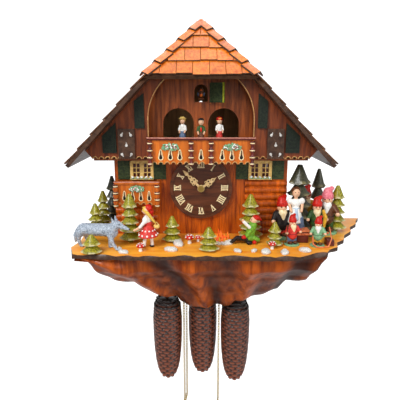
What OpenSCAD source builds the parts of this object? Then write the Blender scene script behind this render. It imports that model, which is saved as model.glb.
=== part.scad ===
// Wall-hung musical chalet cuckoo clock with a forest scene on its base.
// Frame: origin at the hanging hole in the back, wall plane y = 0, front is -Y, +Z up.

/* [Roof] */
// height of the roof's top above the hanging hole
apex_z = 160.5; // [120:0.5:190]
// slope of the two main roof sides
roof_slope = 46.7; // [40:0.1:52]
// half width of the roof over the eaves
eave_x = 253; // [200:1:280]
// depth of the roof from the wall
roof_depth = 185; // [160:1:200]
// how far back the hipped front reaches its top
hip_back = 72; // [60:1:130]
// thickness of the shingle layer
shingle_t = 5; // [3:0.5:7]
// thickness of the roof boards
board_t = 7; // [5:0.5:10]
// exposed length of one shingle row
shingle_row = 36.4; // [30:0.2:45]

/* [Case] */
// half width of the lower storey
low_x = 172; // [150:1:185]
// half width of the upper storey's side walls
up_x = 206; // [190:1:215]
// distance of the lower front from the wall
low_y = 120; // [110:1:130]
// distance of the gable front from the wall
gable_y = 150; // [140:1:160]
// thickness of case walls
wall_t = 6; // [4:0.5:8]
// top of the base platform
base_z = -262; // [-280:1:-240]
// underside of the upper storey
storey_z = -104; // [-110:1:-98]
// radius of the big arch in the gable
arch_r = 98; // [90:1:100]
// radius of the hanging hole
hang_r = 4; // [3:0.5:5]

/* [Dial and motion work] */
// height of the dial's centre
dial_z = -165; // [-170:1:-160]
// radius of the dial
dial_r = 62; // [56:0.5:64]
// gear module of the motion work
gear_m = 0.8; // [0.6:0.1:1]
// clockwise angle of the minute hand from twelve
minute_at = 316; // [0:1:359]
// clockwise angle of the hour hand from twelve
hour_at = 54; // [0:1:359]

/* [Drive] */
// radius of the chain's centre line on a chain wheel
wheel_r = 18; // [16:0.5:20]
// height of the chain wheels' arbors
wheel_z = -190; // [-200:1:-180]
// thickness of the brass link chain
chain_d = 4.5; // [3:0.5:6]
// largest diameter of a pine cone weight
cone_d = 62; // [56:1:66]
// length of a pine cone weight
cone_l = 200; // [180:1:220]

/* [Scene] */
// radius of the ring the dancers stand on
ring_r = 36; // [32:0.5:38]
// height of a dancer
dancer_h = 48; // [40:1:55]

/* [Hidden] */
$fn = 40;
tan_s = tan(roof_slope);
cos_s = cos(roof_slope);
hip_run = roof_depth - hip_back;
hip_low = apex_z - 104 * tan_s;
hip_rise = apex_z - hip_low;
hip_ang = atan(hip_rise / hip_run);
hip_len = sqrt(hip_rise * hip_rise + hip_run * hip_run);
roof_in = shingle_t + board_t;
slope_len = eave_x / cos_s;
under_z = apex_z - roof_in / cos_s;
gear_gap = 20 * gear_m;
stud_z = dial_z - gear_gap;
plate_front = 112.5;
plate_back = 61;
plate_t = 1.5;
// each chain: name, wheel x, distance from the wall, side of the weight, height of the cone's tip
chains = [["left", -55, 106, -1, -605], ["centre", -14, 84, 1, -606], ["right", 57, 106, 1, -611]];
// each free strand starts at this height, and hangs down to its hank
strand_z = -245;
hank_z = -700;
hank_size = [27, 20, 117];

// ---------- helpers ----------
// a shape drawn in the front view, from depth y0 (nearer the wall) to y1
module front(y0, y1) { translate([0, -y0, 0]) rotate([90, 0, 0]) linear_extrude(y1 - y0) children(); }
// a shape drawn in the side view (y, z), from x0 to x1
module side(x0, x1) { translate([x0, 0, 0]) rotate([90, 0, 90]) linear_extrude(x1 - x0) children(); }
module both() { children(); mirror([1, 0, 0]) children(); }
module bar(x0, x1, y0, y1, z0, z1) { translate([x0, -y1, z0]) cube([x1 - x0, y1 - y0, z1 - z0]); }
module rod(x, z, y0, y1, r) { translate([x, -y0, z]) rotate([90, 0, 0]) cylinder(r = r, h = y1 - y0); }

// one main slope as a layer between two depths below its surface
module slope_layer(t0, t1) {
  intersection() {
    translate([0, apex_z]) rotate(-roof_slope) translate([-40, -t1]) square([slope_len + 40, t1 - t0]);
    translate([0, -400]) square([400, 800]);
  }
}
// stepped shingle rows of a slope of a given length, drawn along the slope
module rows(len, row, base) {
  n = floor(len / row);
  first = len - n * row;
  polygon(concat([[-20, -base], [-20, 1.5 - base], [first - 0.01, -0.2]],
    [for (i = [0 : n - 1]) each [[first + i * row, -base + 1.8], [first + (i + 1) * row - 0.01, -0.2 * (i % 2)]]],
    [[len, -base]]));
}
// everything behind the hipped plane, at a depth below its surface
module behind_hip(t) {
  side(-300, 300) translate([-hip_back, apex_z]) rotate(hip_ang) translate([-400, -800 - t]) square([800, 800]);
}
module under_main(t) {
  front(-1, 300) both() intersection() {
    translate([0, apex_z]) rotate(-roof_slope) translate([-400, -800 - t]) square([900, 800]);
    translate([0, -400]) square([400, 800]);
  }
}

// ---------- roof ----------
module roof_boards() {
  color("saddlebrown") {
    intersection() {
      front(0, roof_depth) both() slope_layer(shingle_t, roof_in);
      behind_hip(roof_in);
    }
    intersection() {
      side(-160, 160) translate([-hip_back, apex_z]) rotate(hip_ang)
        translate([-hip_len, -roof_in]) square([hip_len + 8, board_t]);
      under_main(shingle_t);
    }
  }
}
module main_shingles() {
  color("peru") intersection() {
    front(0, roof_depth) both() intersection() {
      translate([0, apex_z]) rotate(-roof_slope) rows(slope_len, shingle_row, shingle_t);
      translate([0, -400]) square([400, 800]);
    }
    behind_hip(shingle_t);
  }
}
module hip_shingles() {
  color("sandybrown") intersection() {
    side(-160, 160) translate([-hip_back, apex_z]) rotate(hip_ang) mirror([1, 0]) rows(hip_len, shingle_row, shingle_t);
    under_main(0);
  }
}
// one tile lying across the hip's ridge: its length runs down the ridge
module hip_tile(i) {
  f = (i + 0.62) / 5.2;
  d = [104, -hip_run, -hip_rise] / norm([104, hip_run, hip_rise]);
  n0 = [sin(roof_slope), -sin(hip_ang), cos(roof_slope) + cos(hip_ang)];
  up = n0 / norm(n0);
  w = cross(up, d);
  p = [f * 104, -hip_back - f * hip_run, apex_z - f * hip_rise];
  intersection() {
    multmatrix([[d[0], w[0], up[0], p[0]], [d[1], w[1], up[1], p[1]], [d[2], w[2], up[2], p[2]], [0, 0, 0, 1]])
      translate([-14, -10, -4]) cube([28, 20, 5.5]);
    translate([0.3, -300, -300]) cube([400, 400, 600]);
  }
}
module ridge_tiles() {
  color("peru") difference() {
    union() {
      both() for (i = [0 : 4]) hip_tile(i);
      for (k = [0 : 1]) bar(-10, 10, hip_back - 36 - 24 * k, hip_back - 14 - 24 * k, apex_z - 5, apex_z + 2);
    }
    intersection() {
      behind_hip(0);
      under_main(0);
    }
  }
}

// ---------- case ----------
module back_outline() {
  polygon([[-low_x, base_z], [low_x, base_z], [low_x, storey_z], [up_x, storey_z], [up_x, under_z - up_x * tan_s],
    [0, under_z], [-up_x, under_z - up_x * tan_s], [-up_x, storey_z], [-low_x, storey_z]]);
}
module back_panel() {
  color("tan") difference() {
    front(0, wall_t) back_outline();
    rod(0, 0, -1, wall_t + 1, hang_r);
    both() for (k = [0 : 5]) bar(30, 75, -1, wall_t + 1, 10 + k * 9, 14 + k * 9);
  }
}
module side_walls() {
  color("sienna") both() {
    bar(low_x - wall_t, low_x, wall_t, low_y - wall_t, base_z, storey_z - 4);
    front(wall_t, gable_y - wall_t) polygon([[up_x - wall_t, storey_z], [up_x, storey_z],
      [up_x, under_z - up_x * tan_s], [up_x - wall_t, under_z - (up_x - wall_t) * tan_s]]);
  }
}
module front_wall() {
  color("chocolate") difference() {
    union() {
      bar(-low_x, low_x, low_y - wall_t, low_y, base_z, storey_z - 4);
      both() for (k = [0 : 7]) intersection() {
        translate([88, -low_y + 3, base_z + 7 + k * 14]) rotate([0, 90, 0]) cylinder(r = 7, h = low_x - 88);
        bar(88, low_x, low_y - 0.5, low_y + 8, base_z, base_z + 112);
      }
    }
    rod(0, dial_z, low_y - wall_t - 1, low_y + 1, 30);
    for (k = [-5 : 5]) bar(k * 14 - 0.6, k * 14 + 0.6, low_y - 1, low_y + 1, base_z - 1, storey_z);
  }
}
module stage_floor() {
  color("sienna") {
    difference() {
      union() {
        bar(-up_x, up_x, wall_t, gable_y - wall_t, storey_z - 4, storey_z);
        bar(-99, 99, gable_y - wall_t, 161, storey_z - 4, storey_z - 0.5);
      }
      rod(0, dial_z, 118, 132, dial_r + 0.3);
    }
    difference() {
      bar(-97.5, 97.5, 66, 161, -82, -78);
      translate([0, -114, -120]) cylinder(r = 4, h = 60);
    }
    both() bar(92, 96, 68, 143, storey_z, -82);
  }
}
module arch_shape(r, low) {
  translate([0, -30]) circle(r);
  translate([-r, low]) square([2 * r, -30 - low]);
}
module gable_board() {
  color("brown") intersection() {
    union() {
      difference() {
        front(gable_y - wall_t, gable_y) polygon([[-207, storey_z], [207, storey_z], [219, under_z - 219 * tan_s],
          [59.5, under_z - 59.5 * tan_s], [-59.5, under_z - 59.5 * tan_s], [-219, under_z - 219 * tan_s]]);
        front(gable_y - wall_t - 1, gable_y + 1) arch_shape(arch_r, storey_z + 4);
        both() for (k = [0 : 8]) rod(106 + k * 12, storey_z, gable_y - wall_t - 1, gable_y + 1, 4);
      }
      front(gable_y, gable_y + 1.5) difference() {
        arch_shape(arch_r + 2.5, -62);
        arch_shape(arch_r, -70);
        translate([-120, -162]) square([240, 100]);
      }
    }
    behind_hip(roof_in + 0.2);
    under_main(roof_in);
  }
}
module stage_wall() {
  color("peru") translate([18, -118, 0]) {
    translate([0, 0, -0.5]) cylinder(r = 0.55, h = 41);
    for (z = [-1.5, 38.5]) translate([-1.5, -1.5, z]) cube([3, 3.5, 2]);
  }
  color("peru") difference() {
    union() {
      front(109, 115) polygon([[-97, -78], [97, -78], [97, 34], [40, 93], [-40, 93], [-97, 34]]);
      both() front(109, 115) polygon([[98, storey_z], [125, storey_z], [125, 4], [96, 35], [96, -78], [98, -78]]);
      front(115, 116) difference() {
        translate([0, -16]) union() { translate([-15, 16]) square([30, 24]); translate([0, 40]) circle(15); }
        translate([-13, -1]) square([26, 24]);
        translate([0, 22]) circle(13);
      }
    }
    both() front(108, 117) union() {
      translate([44, -40]) circle(30);
      translate([14, -79]) square([60, 39]);
    }
    front(108, 117) union() {
      translate([-13, 2]) square([26, 20]);
      translate([0, 22]) circle(13);
      translate([-50, -79]) square([100, 8]);
    }
    for (k = [-8 : 8]) bar(k * 11 - 0.5, k * 11 + 0.5, 114.4, 116.2, -77, 90);
  }
}

// ---------- balconies ----------
module keyhole(x, z) {
  translate([x, z]) circle(2.6);
  translate([x - 0.9, z]) square([1.8, 15]);
}
module panel_face(w, h, holes) {
  difference() {
    translate([-w / 2, 0]) square([w, h]);
    for (x = holes) keyhole(x, 12);
    for (k = [0 : floor(w / 12) - 1]) translate([-w / 2 + 6 + k * 12, 0]) circle(3.5);
  }
}
module balcony_panels() {
  color("orange") {
    both() translate([57.5, 0, -112]) front(161, 165) panel_face(72, 45, [-18, 0, 18]);
    translate([0, 0, -112]) front(161, 165) panel_face(32, 45, [0]);
    both() bar(16, 21.5, 161, 165, -108, -67);
    both() bar(93.5, 99, 161, 165, -108, -67);
    both() bar(97.5, 99, 150, 161, storey_z - 0.4, -67);
  }
}
module post(x, y, z0, z1, r) {
  h = z1 - z0;
  translate([x, -y, z0]) {
    cylinder(r = r, h = h);
    for (k = [0 : 2]) translate([0, 0, h * (0.2 + 0.3 * k)]) cylinder(r = r + 1, h = 4, center = true);
    translate([0, 0, -3]) cylinder(r = r - 1, h = 3);
  }
}
module balcony_rails() {
  color("firebrick") {
    bar(-100, 100, 159, 169, -67, -62);
    both() bar(95, 100, 151.5, 159, -67, -62);
    both() {
      post(95, 170, -112, -67, 4);
      post(18.5, 170, -112, -67, 4);
    }
  }
}
module side_balcony() {
  color("orangered") {
    translate([-125, 0, -194]) front(147, 150) panel_face(82, 41, [-24, -8, 8, 24]);
    bar(-166, -163, 124, 147, -191, -153);
    bar(-87, -84, 124, 147, -191, -153);
    bar(-163, -87, 124, 147, -191, -188);
    bar(-168, -82, 144, 153, -153, -148);
    bar(-168, -163, 124, 144, -153, -148);
    bar(-87, -82, 124, 144, -153, -148);
    post(-85, 155, -196, -153, 4);
    post(-165, 155, -196, -153, 4);
  }
}

// ---------- windows and shutters ----------
module window_shape(g) {
  translate([-23 - g, -148 - g]) square([46 + 2 * g, 36 + g]);
  intersection() {
    translate([0, -160]) circle(52.5 + g);
    translate([-23 - g, -113]) square([46 + 2 * g, 5]);
  }
}
module window_frames() {
  color("khaki") both() translate([117, 0, 0]) {
    front(low_y, low_y + 6) difference() {
      window_shape(0);
      for (i = [0, 1], s = [-1, 1], k = [0 : 2]) translate([s * (7 + i * 7.4) - 3, -143 + k * 9.4]) square([6, 8]);
    }
    bar(-23, 23, low_y + 6, low_y + 9, -148, -146);
  }
}
module green_shutters() {
  color("darkgreen") both() for (x = [69.5, 140.5]) {
    bar(x, x + 24, low_y, low_y + 4, -148, -109);
    for (k = [0 : 4]) bar(x + 3, x + 21, low_y + 4, low_y + 5, -145 + k * 7, -141 + k * 7);
  }
}
module leaf_shutters() {
  color("dimgray") both() {
    bar(125, 156, gable_y, gable_y + 5, -103, -47);
    for (p = [[132, -58], [149, -58], [140.5, -77], [132, -95], [149, -95]])
      rod(p[0], p[1], gable_y + 5, gable_y + 6, 4);
  }
}
module gable_shutters() {
  color("darkslategray") both() {
    front(gable_y, gable_y + 4) polygon([[106, -46], [124, -46], [124, 4], [106, 18]]);
    front(gable_y, gable_y + 4) polygon([[160, -92], [186, -92], [186, -60], [160, -36]]);
    for (k = [0 : 3]) bar(163, 183, gable_y + 4, gable_y + 5, -89 + k * 7, -85 + k * 7);
  }
}
module garlands() {
  color("green") {
    both() for (k = [0 : 5]) translate([44 + k * 5.4, -167.6, -78 - 5 * (k % 2)]) sphere(r = 2.5, $fn = 16);
    both() for (k = [0 : 4]) translate([99 + k * 9, -low_y - 9, -143.3]) sphere(r = 2.6, $fn = 16);
    for (k = [0 : 5]) translate([-139 + k * 5.4, -152.6, -162 - 5 * (k % 2)]) sphere(r = 2.5, $fn = 16);
  }
}

// ---------- base ----------
module platform_outline() {
  polygon([[-203, 0], [-214, -40], [-222, -92], [-238, -130], [-235, -168], [-243, -204], [-236, -226], [-230, -247],
    [-190, -249], [-150, -254], [-92, -258], [-40, -254], [0, -258], [60, -256], [120, -260], [173, -257], [204, -243],
    [228, -236], [236, -219], [256, -203], [262, -178], [281, -160], [292, -130], [314, -104], [322, -74], [344, -48],
    [352, -24], [366, 0]]);
}
module platform() {
  color("goldenrod") difference() {
    translate([0, 0, base_z - 8]) linear_extrude(8) platform_outline();
    for (c = chains) both_strands(c) translate([0, 0, base_z - 9]) cylinder(r = 6, h = 10);
    bar(-26, 26, 34, 46, base_z - 9, base_z + 1);
  }
}
module both_strands(c) {
  for (s = [-1, 1]) translate([c[1] + s * wheel_r, -c[2], 0]) children();
}
module carved_skirt() {
  color("sienna") {
    intersection() {
      front(100, 262) polygon([[-228, base_z - 8], [-205, -281], [-191, -315], [-169, -345], [-129, -343], [-118, -366],
        [-98, -379], [-54, -400], [-19, -422], [9, -426], [33, -404], [64, -397], [111, -386], [122, -366], [149, -369],
        [160, -343], [172, -334], [204, -337], [208, -303], [226, -278], [234, base_z - 8]]);
      side(-300, 300) polygon([[-250, base_z - 8], [-238, -300], [-205, -326], [-184, -356], [-150, -380], [-130, -430],
        [-116, -430], [-134, -378], [-168, -346], [-190, -314], [-218, -294], [-228, base_z - 8]]);
    }
    both() translate([0, 0, 0]) side(150, 166) polygon([[-190, base_z - 8], [-190, -300], [-150, -330], [0, -322], [0, base_z - 8]]);
  }
}

// ---------- dial and hands ----------
module dial() {
  color("saddlebrown") difference() {
    union() {
      rod(0, dial_z, low_y, low_y + 6, dial_r);
      front(low_y + 6, low_y + 9) translate([0, dial_z]) difference() { circle(dial_r); circle(dial_r - 6); }
    }
    rod(0, dial_z, low_y - 1, low_y + 10, 4.8);
  }
}
module stroke(x, lean, w) { translate([x, 0]) rotate(lean) square([w, 13.5], center = true); }
module serifs(x, w) { for (s = [-1, 1]) translate([x, s * 6.3]) square([w, 1.3], center = true); }
module mark(kind, x) {
  if (kind == 1) { stroke(x, 0, 2.1); serifs(x, 4.2); }
  if (kind == 5) { stroke(x - 1.6, 14, 2.2); stroke(x + 1.6, -14, 1.3); translate([x, 6.3]) square([8.4, 1.3], center = true); }
  if (kind == 10) { stroke(x, 24, 2.3); stroke(x, -24, 1.3); serifs(x, 8.2); }
}
marks = [[10, 1, 1], [1], [1, 1], [1, 1, 1], [1, 1, 1, 1], [5], [5, 1], [5, 1, 1], [5, 1, 1, 1], [1, 10], [10], [10, 1]];
// each mark takes its own width, and the row is centred
function mark_w(kind) = kind == 1 ? 3.9 : 6.6;
function sum_w(row, n) = n == 0 ? 0 : mark_w(row[n - 1]) + sum_w(row, n - 1);
function mark_at(row, i) = sum_w(row, i) + mark_w(row[i]) / 2 - sum_w(row, len(row)) / 2;
module numerals() {
  color("wheat") front(low_y + 6, low_y + 7) translate([0, dial_z]) for (h = [0 : 11])
    rotate(-30 * h) translate([0, 47]) for (i = [0 : len(marks[h]) - 1])
      mark(marks[h][i], mark_at(marks[h], i));
}
module hand(long, lobe) {
  difference() {
    union() {
      circle(7);
      polygon([[-2.4, 0], [2.4, 0], [1.9, long - 14], [4, long - 12], [0, long], [-4, long - 12], [-1.9, long - 14]]);
      translate([0, lobe]) circle(6.4);
      for (s = [-1, 1]) translate([s * 4.2, lobe - 5]) circle(2.8);
      translate([0, lobe + 8.5]) circle(3.9);
    }
    for (s = [-1, 1]) translate([s * 2.9, lobe]) circle(1.7);
    for (s = [-1, 1]) translate([s * 4.6, lobe - 5.4]) circle(1.1);
    translate([0, lobe + 9]) circle(1.5);
  }
}
module minute_hand() {
  color("wheat") difference() {
    front(low_y + 13.5, low_y + 15) translate([0, dial_z]) rotate(-minute_at) hand(52, 22);
    rod(0, dial_z, low_y + 10, low_y + 16, 2.8);
  }
}
module hour_hand() {
  color("wheat") difference() {
    front(low_y + 10.5, low_y + 12) translate([0, dial_z]) rotate(-hour_at) hand(38, 20);
    rod(0, dial_z, low_y + 9, low_y + 16, 4.2);
  }
}
// a thin-toothed clock gear drawn flat
module gear(n, spin) {
  r = n * gear_m / 2;
  rotate(spin) {
    circle(r - 0.95 * gear_m);
    for (k = [0 : n - 1]) rotate(k * 360 / n) translate([0, r])
      polygon([[-0.42, -1.3], [0.42, -1.3], [0.34, 0], [0.12, 0.45], [-0.12, 0.45], [-0.34, 0]]);
  }
}
module centre_arbor() {
  color("gold") {
    rod(0, dial_z, plate_back - 4, low_y + 18, 1.5);
    rod(0, dial_z, plate_front + 0.6, low_y + 15, 2.8);
    front(plate_front + 1, plate_front + 2.5) translate([0, dial_z]) gear(10, 18);
    difference() { rod(0, dial_z, low_y + 15, low_y + 17, 6.2); rod(0, dial_z, low_y + 16, low_y + 18, 2); }
  }
}
module minute_wheel() {
  color("gold") difference() {
    union() {
      front(plate_front + 1, plate_front + 2.5) translate([0, stud_z]) gear(30, 0);
      front(plate_front + 2.5, plate_front + 6) translate([0, stud_z]) gear(8, 22.5);
    }
    rod(0, stud_z, plate_front - 1, plate_front + 8, 1.05);
  }
}
module hour_wheel() {
  color("gold") difference() {
    union() {
      front(low_y - 3, low_y - 1.6) translate([0, dial_z]) gear(32, 0);
      rod(0, dial_z, low_y - 3, low_y + 12, 4.2);
    }
    rod(0, dial_z, low_y - 4, low_y + 13, 2.85);
  }
}

// ---------- movement ----------
module movement_frame() {
  color("darkgoldenrod") {
    difference() {
      union() {
        bar(-88, 88, plate_front - plate_t, plate_front, -224, -118);
        bar(-88, 88, plate_back - plate_t, plate_back, -224, -118);
      }
      rod(0, dial_z, plate_back - 3, plate_front + 1, 1.55);
      for (c = chains) rod(c[1], wheel_z, plate_back - 3, plate_front + 1, 2.05);
    }
    both() for (z = [-219, -123]) {
      rod(83, z, plate_back, plate_front - plate_t, 3);
      rod(83, z, plate_front, low_y - wall_t, 3);
    }
    rod(0, stud_z, plate_front, low_y - 1.2, 1);
    rod(0, -124, 42, plate_back - plate_t, 1.5);
    rod(0, -124, 35, 36.5, 3);
    rod(0, -124, 36.5, 42, 1.5);
  }
}
module chain_wheel(c) {
  color("gold") {
    rod(c[1], wheel_z, plate_back - 2.5, plate_front + 0.3, 2);
    rod(c[1], wheel_z, c[2] - 3, c[2] + 3, wheel_r - chain_d / 2 - 0.5);
    rod(c[1], wheel_z, c[2] - 12, c[2] - 10, 14);
  }
}
module pendulum() {
  color("peru") {
    difference() {
      rod(0, -124, 38, 41, 4);
      rod(0, -124, 37, 42, 1.6);
    }
    translate([0, -39.5, -520]) cylinder(r = 1.2, h = 392.3);
    rod(0, -545, 36, 43, 22);
    translate([0, -39.5, -545]) cylinder(r = 3, h = 40);
  }
}

// ---------- weights and chains ----------
cone_profile = [[0, -200], [9, -198], [17, -192], [23, -181], [27, -165], [30, -135], [31, -90], [31, -40],
  [30, -18], [26, -6], [16, 0], [0, 0]];
module pine_cone(c) {
  x = c[1] + c[3] * wheel_r;
  k = cone_d / 62;
  color("saddlebrown") translate([x, -c[2], c[4] + cone_l]) {
    difference() {
      rotate_extrude() polygon([for (p = cone_profile) [p[0] * k, p[1] * cone_l / 200]]);
      translate([0, 0, -165]) cylinder(r = 23 * k, h = 155);
      translate([0, 0, -20]) cylinder(r = 3, h = 21);
    }
    translate([0, 0, -1]) difference() { cylinder(r = 6, h = 2); translate([0, 0, -1]) cylinder(r = 1, h = 2); }
    translate([0, 0, 0]) cylinder(r = 1.5, h = 6);
    translate([0, 0, 8.5]) rotate([90, 0, 0]) rotate_extrude() translate([3, 0]) circle(1, $fn = 16);
  }
}
module round_tube(x, y, z0, z1, bend) {
  n = 16;
  m = 8;
  pts = [for (i = [0 : n]) for (j = [0 : m - 1]) [x + bend * sin(180 * i / n) + chain_d / 2 * cos(360 * j / m),
    -y + chain_d / 2 * sin(360 * j / m), z0 + (z1 - z0) * i / n]];
  faces = concat([[for (j = [0 : m - 1]) j]], [[for (j = [m - 1 : -1 : 0]) n * m + j]],
    [for (i = [0 : n - 1]) for (j = [0 : m - 1]) [i * m + j, (i + 1) * m + j, (i + 1) * m + (j + 1) % m, i * m + (j + 1) % m]]);
  polyhedron(pts, faces);
}
module weight_chain(c) {
  color("khaki") round_tube(c[1] + c[3] * wheel_r, c[2], c[4] + cone_l + 13, wheel_z, 0);
}
module free_chain(c) {
  x = c[1] - c[3] * wheel_r;
  color("khaki") {
    round_tube(x, c[2], hank_z, strand_z, 0);
    translate([x - hank_size[0] / 2, -c[2] - hank_size[1] / 2, hank_z - hank_size[2]]) cube(hank_size);
  }
}

// ---------- cuckoo, dancers, music ----------
module cuckoo_door() {
  color("darkgreen") translate([18, -118, 0]) rotate([0, 0, -35]) difference() {
    union() {
      translate([0, -1.2, 1]) cube([32, 2.4, 37]);
      translate([0, 0, 1]) cylinder(r = 1.4, h = 37);
    }
    translate([0, 0, 0]) cylinder(r = 0.6, h = 40);
  }
}
module cuckoo_bird() {
  color("tan") {
    translate([0, -108, 17]) {
      sphere(r = 7, $fn = 24);
      translate([0, -6, 7]) sphere(r = 5, $fn = 24);
      translate([0, -10, 7]) rotate([90, 0, 0]) cylinder(r1 = 1.8, r2 = 0.4, h = 6);
      translate([-4, 4, -2]) cube([8, 16, 2]);
    }
    bar(-1.5, 1.5, 60, 108, 7, 10);
    bar(-5, 5, 100, 113, 7, 9);
  }
}
module carousel() {
  color("sienna") {
    translate([0, -114, -77.5]) cylinder(r = ring_r + 8, h = 3);
    translate([0, -114, -100]) cylinder(r = 3.6, h = 23);
    translate([0, -114, -100]) cylinder(r = 3.6, h = 2);
  }
}
module person(h, wide) {
  cylinder(r1 = wide * 0.5, r2 = wide * 0.34, h = h * 0.45);
  translate([0, 0, h * 0.42]) cylinder(r1 = wide * 0.4, r2 = wide * 0.28, h = h * 0.33);
  translate([0, 0, h * 0.86]) sphere(r = h * 0.13, $fn = 24);
  for (s = [-1, 1]) translate([s * wide * 0.36, 0, h * 0.42]) rotate([0, -s * 8, 0]) cylinder(r = wide * 0.11, h = h * 0.3);
}
module dancers() {
  color("white") for (k = [0 : 3]) translate([0, -114, -74.5]) rotate([0, 0, k * 90]) translate([0, -ring_r, 0])
    rotate([0, 0, 0]) person(dancer_h, 13);
}
module music_box() {
  color("silver") {
    bar(110, 158, 40, 100, storey_z, storey_z + 3);
    bar(114, 122, 44, 96, storey_z + 3, storey_z + 18);
    for (y = [44, 92]) difference() {
      bar(130, 150, y, y + 4, storey_z + 3, storey_z + 26);
      rod(140, storey_z + 14, y - 1, y + 5, 2.05);
    }
  }
}
module music_cylinder() {
  color("gold") {
    rod(140, storey_z + 14, 43, 97, 2);
    rod(140, storey_z + 14, 50, 90, 8);
  }
}
module bellows() {
  color("ivory") both() {
    bar(162, 192, 60, 100, storey_z, storey_z + 8);
    bar(159, 161.5, 60, 100, storey_z, storey_z + 20);
  }
}
module gong() {
  color("silver") translate([-50, -16, -190]) {
    rotate([90, 0, 0]) for (r = [12, 17, 22, 27]) rotate_extrude() translate([r, 0]) circle(1.2, $fn = 12);
    rotate([90, 0, 0]) translate([-28, -1, -1]) cube([56, 2, 2]);
    translate([-3, -3, -3]) cube([6, 13, 6]);
  }
  color("silver") {
    rod(-84, -155.5, 6, 24, 1.5);
    rod(-84, -155.5, 22, 24, 3);
  }
}
module gong_hammer() {
  color("silver") {
    difference() {
      union() {
        rod(-84, -155.5, 12, 20, 3.5);
        translate([-84, -16, -155.5]) rotate([0, 90, 0]) cylinder(r = 1.2, h = 32);
      }
      rod(-84, -155.5, 11, 21, 1.55);
    }
    rod(-50, -155.5, 12, 20, 4);
  }
}

// ---------- forest scene ----------
module fir(x, y, h, r, tiers) {
  translate([x, -y, base_z]) {
    cylinder(r = r * 0.22, h = h * 0.3);
    for (k = [0 : tiers - 1]) translate([0, 0, h * (0.1 + 0.75 * k / tiers)])
      cylinder(r1 = r * (1 - 0.72 * k / tiers), r2 = r * 0.12, h = h * (0.15 + 0.75 / tiers), $fn = 12);
  }
}
module fir_trees() {
  color("olivedrab") {
    fir(-193, 50, 124, 17, 5);
    fir(-205, 90, 90, 15, 4);
    fir(-217, 124, 66, 15, 4);
    fir(-136, 172, 100, 16, 5);
    fir(-196, 236, 32, 12, 2);
    fir(-56, 168, 48, 12, 3);
    fir(14, 222, 42, 12, 3);
    fir(97, 152, 94, 16, 4);
    fir(138, 196, 44, 12, 3);
    fir(197, 96, 150, 22, 5);
    fir(249, 46, 128, 18, 4);
    fir(284, 100, 102, 17, 5);
  }
}
module mushrooms() {
  color("white") for (p = [[-110, 226, 1.4], [-22, 182, 1.2], [-6, 170, 1.2], [131, 214, 1.2]])
    translate([p[0], -p[1], base_z]) {
      cylinder(r = 2.6 * p[2], h = 7 * p[2]);
      translate([0, 0, 6 * p[2]]) intersection() { sphere(r = 5.5 * p[2], $fn = 24); cylinder(r = 7 * p[2], h = 7 * p[2]); }
    }
}
module stones() {
  color("lightgray") for (p = [[-40, 188, 5], [-55, 222, 6], [-140, 236, 6], [66, 228, 5], [118, 234, 6], [150, 236, 5],
      [188, 226, 7], [23, 174, 5], [31, 189, 5], [43, 192, 5], [47, 176, 4], [36, 165, 6]])
    translate([p[0], -p[1], base_z]) cylinder(r1 = p[2], r2 = p[2] * 0.5, h = p[2] * 0.8, $fn = 8);
}
module wolf() {
  color("slategray") translate([-188, -207, base_z]) rotate([0, 0, -17]) {
    for (p = [[-34, -6], [-30, 6], [20, -6], [25, 6]]) translate([p[0], p[1], 0]) cylinder(r1 = 3.2, r2 = 4.5, h = 26);
    translate([-36, 0, 33]) rotate([0, 86, 0]) cylinder(r1 = 11, r2 = 13, h = 64);
    translate([-36, 0, 33]) sphere(r = 11, $fn = 24);
    translate([28, 0, 38]) sphere(r = 13, $fn = 24);
    translate([36, 0, 46]) sphere(r = 9.5, $fn = 24);
    translate([40, 0, 44]) rotate([0, 102, 0]) cylinder(r1 = 6.5, r2 = 2.5, h = 22);
    for (s = [-1, 1]) translate([32, s * 5, 52]) cylinder(r1 = 3.4, r2 = 0.6, h = 10);
    translate([-50, 0, 5]) rotate([0, 14, 0]) cylinder(r1 = 2, r2 = 5, h = 32);
  }
}
module girl() {
  color("crimson") translate([-98, -205, base_z]) {
    for (s = [-1, 1]) translate([s * 6, s * 2, 0]) cylinder(r = 3, h = 26);
    translate([0, 0, 24]) cylinder(r1 = 17, r2 = 8, h = 22);
    translate([0, 0, 45]) cylinder(r1 = 8, r2 = 6, h = 20);
    translate([0, 0, 74]) sphere(r = 11, $fn = 24);
    for (s = [-1, 1]) translate([s * 8, -2, 61]) rotate([150, 20 * s, 0]) cylinder(r = 2.6, h = 22);
  }
}
module seated_man() {
  color("lime") translate([82, -182, base_z]) {
    translate([-6, 0, 8]) rotate([0, 90, 0]) cylinder(r = 8, h = 24);
    translate([8, 0, 8]) rotate([0, 24, 0]) cylinder(r1 = 10, r2 = 8, h = 34);
    translate([24, -2, 50]) sphere(r = 10, $fn = 24);
    for (s = [-1, 1]) translate([-26, s * 6, 4]) rotate([0, 78, 0]) cylinder(r = 4, h = 26);
    translate([6, -8, 34]) rotate([0, -120, 0]) cylinder(r = 3, h = 22);
  }
}
module gnome(x, y, h) {
  translate([x, -y, base_z]) {
    cylinder(r = h * 0.22, h = 3);
    cylinder(r1 = h * 0.17, r2 = h * 0.15, h = h * 0.35);
    translate([0, 0, h * 0.3]) cylinder(r1 = h * 0.2, r2 = h * 0.14, h = h * 0.38);
    translate([0, 0, h * 0.74]) sphere(r = h * 0.14, $fn = 24);
    translate([0, 0, h * 0.8]) cylinder(r1 = h * 0.14, r2 = h * 0.03, h = h * 0.2);
  }
}
module gnomes() {
  color("firebrick") {
    gnome(172, 190, 62);
    gnome(219, 196, 60);
    gnome(157, 147, 84);
    gnome(231, 130, 70);
    gnome(262, 158, 76);
    gnome(224, 70, 96);
  }
}
module lady() {
  color("white") translate([192, -146, base_z]) person(86, 26);
}
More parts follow.
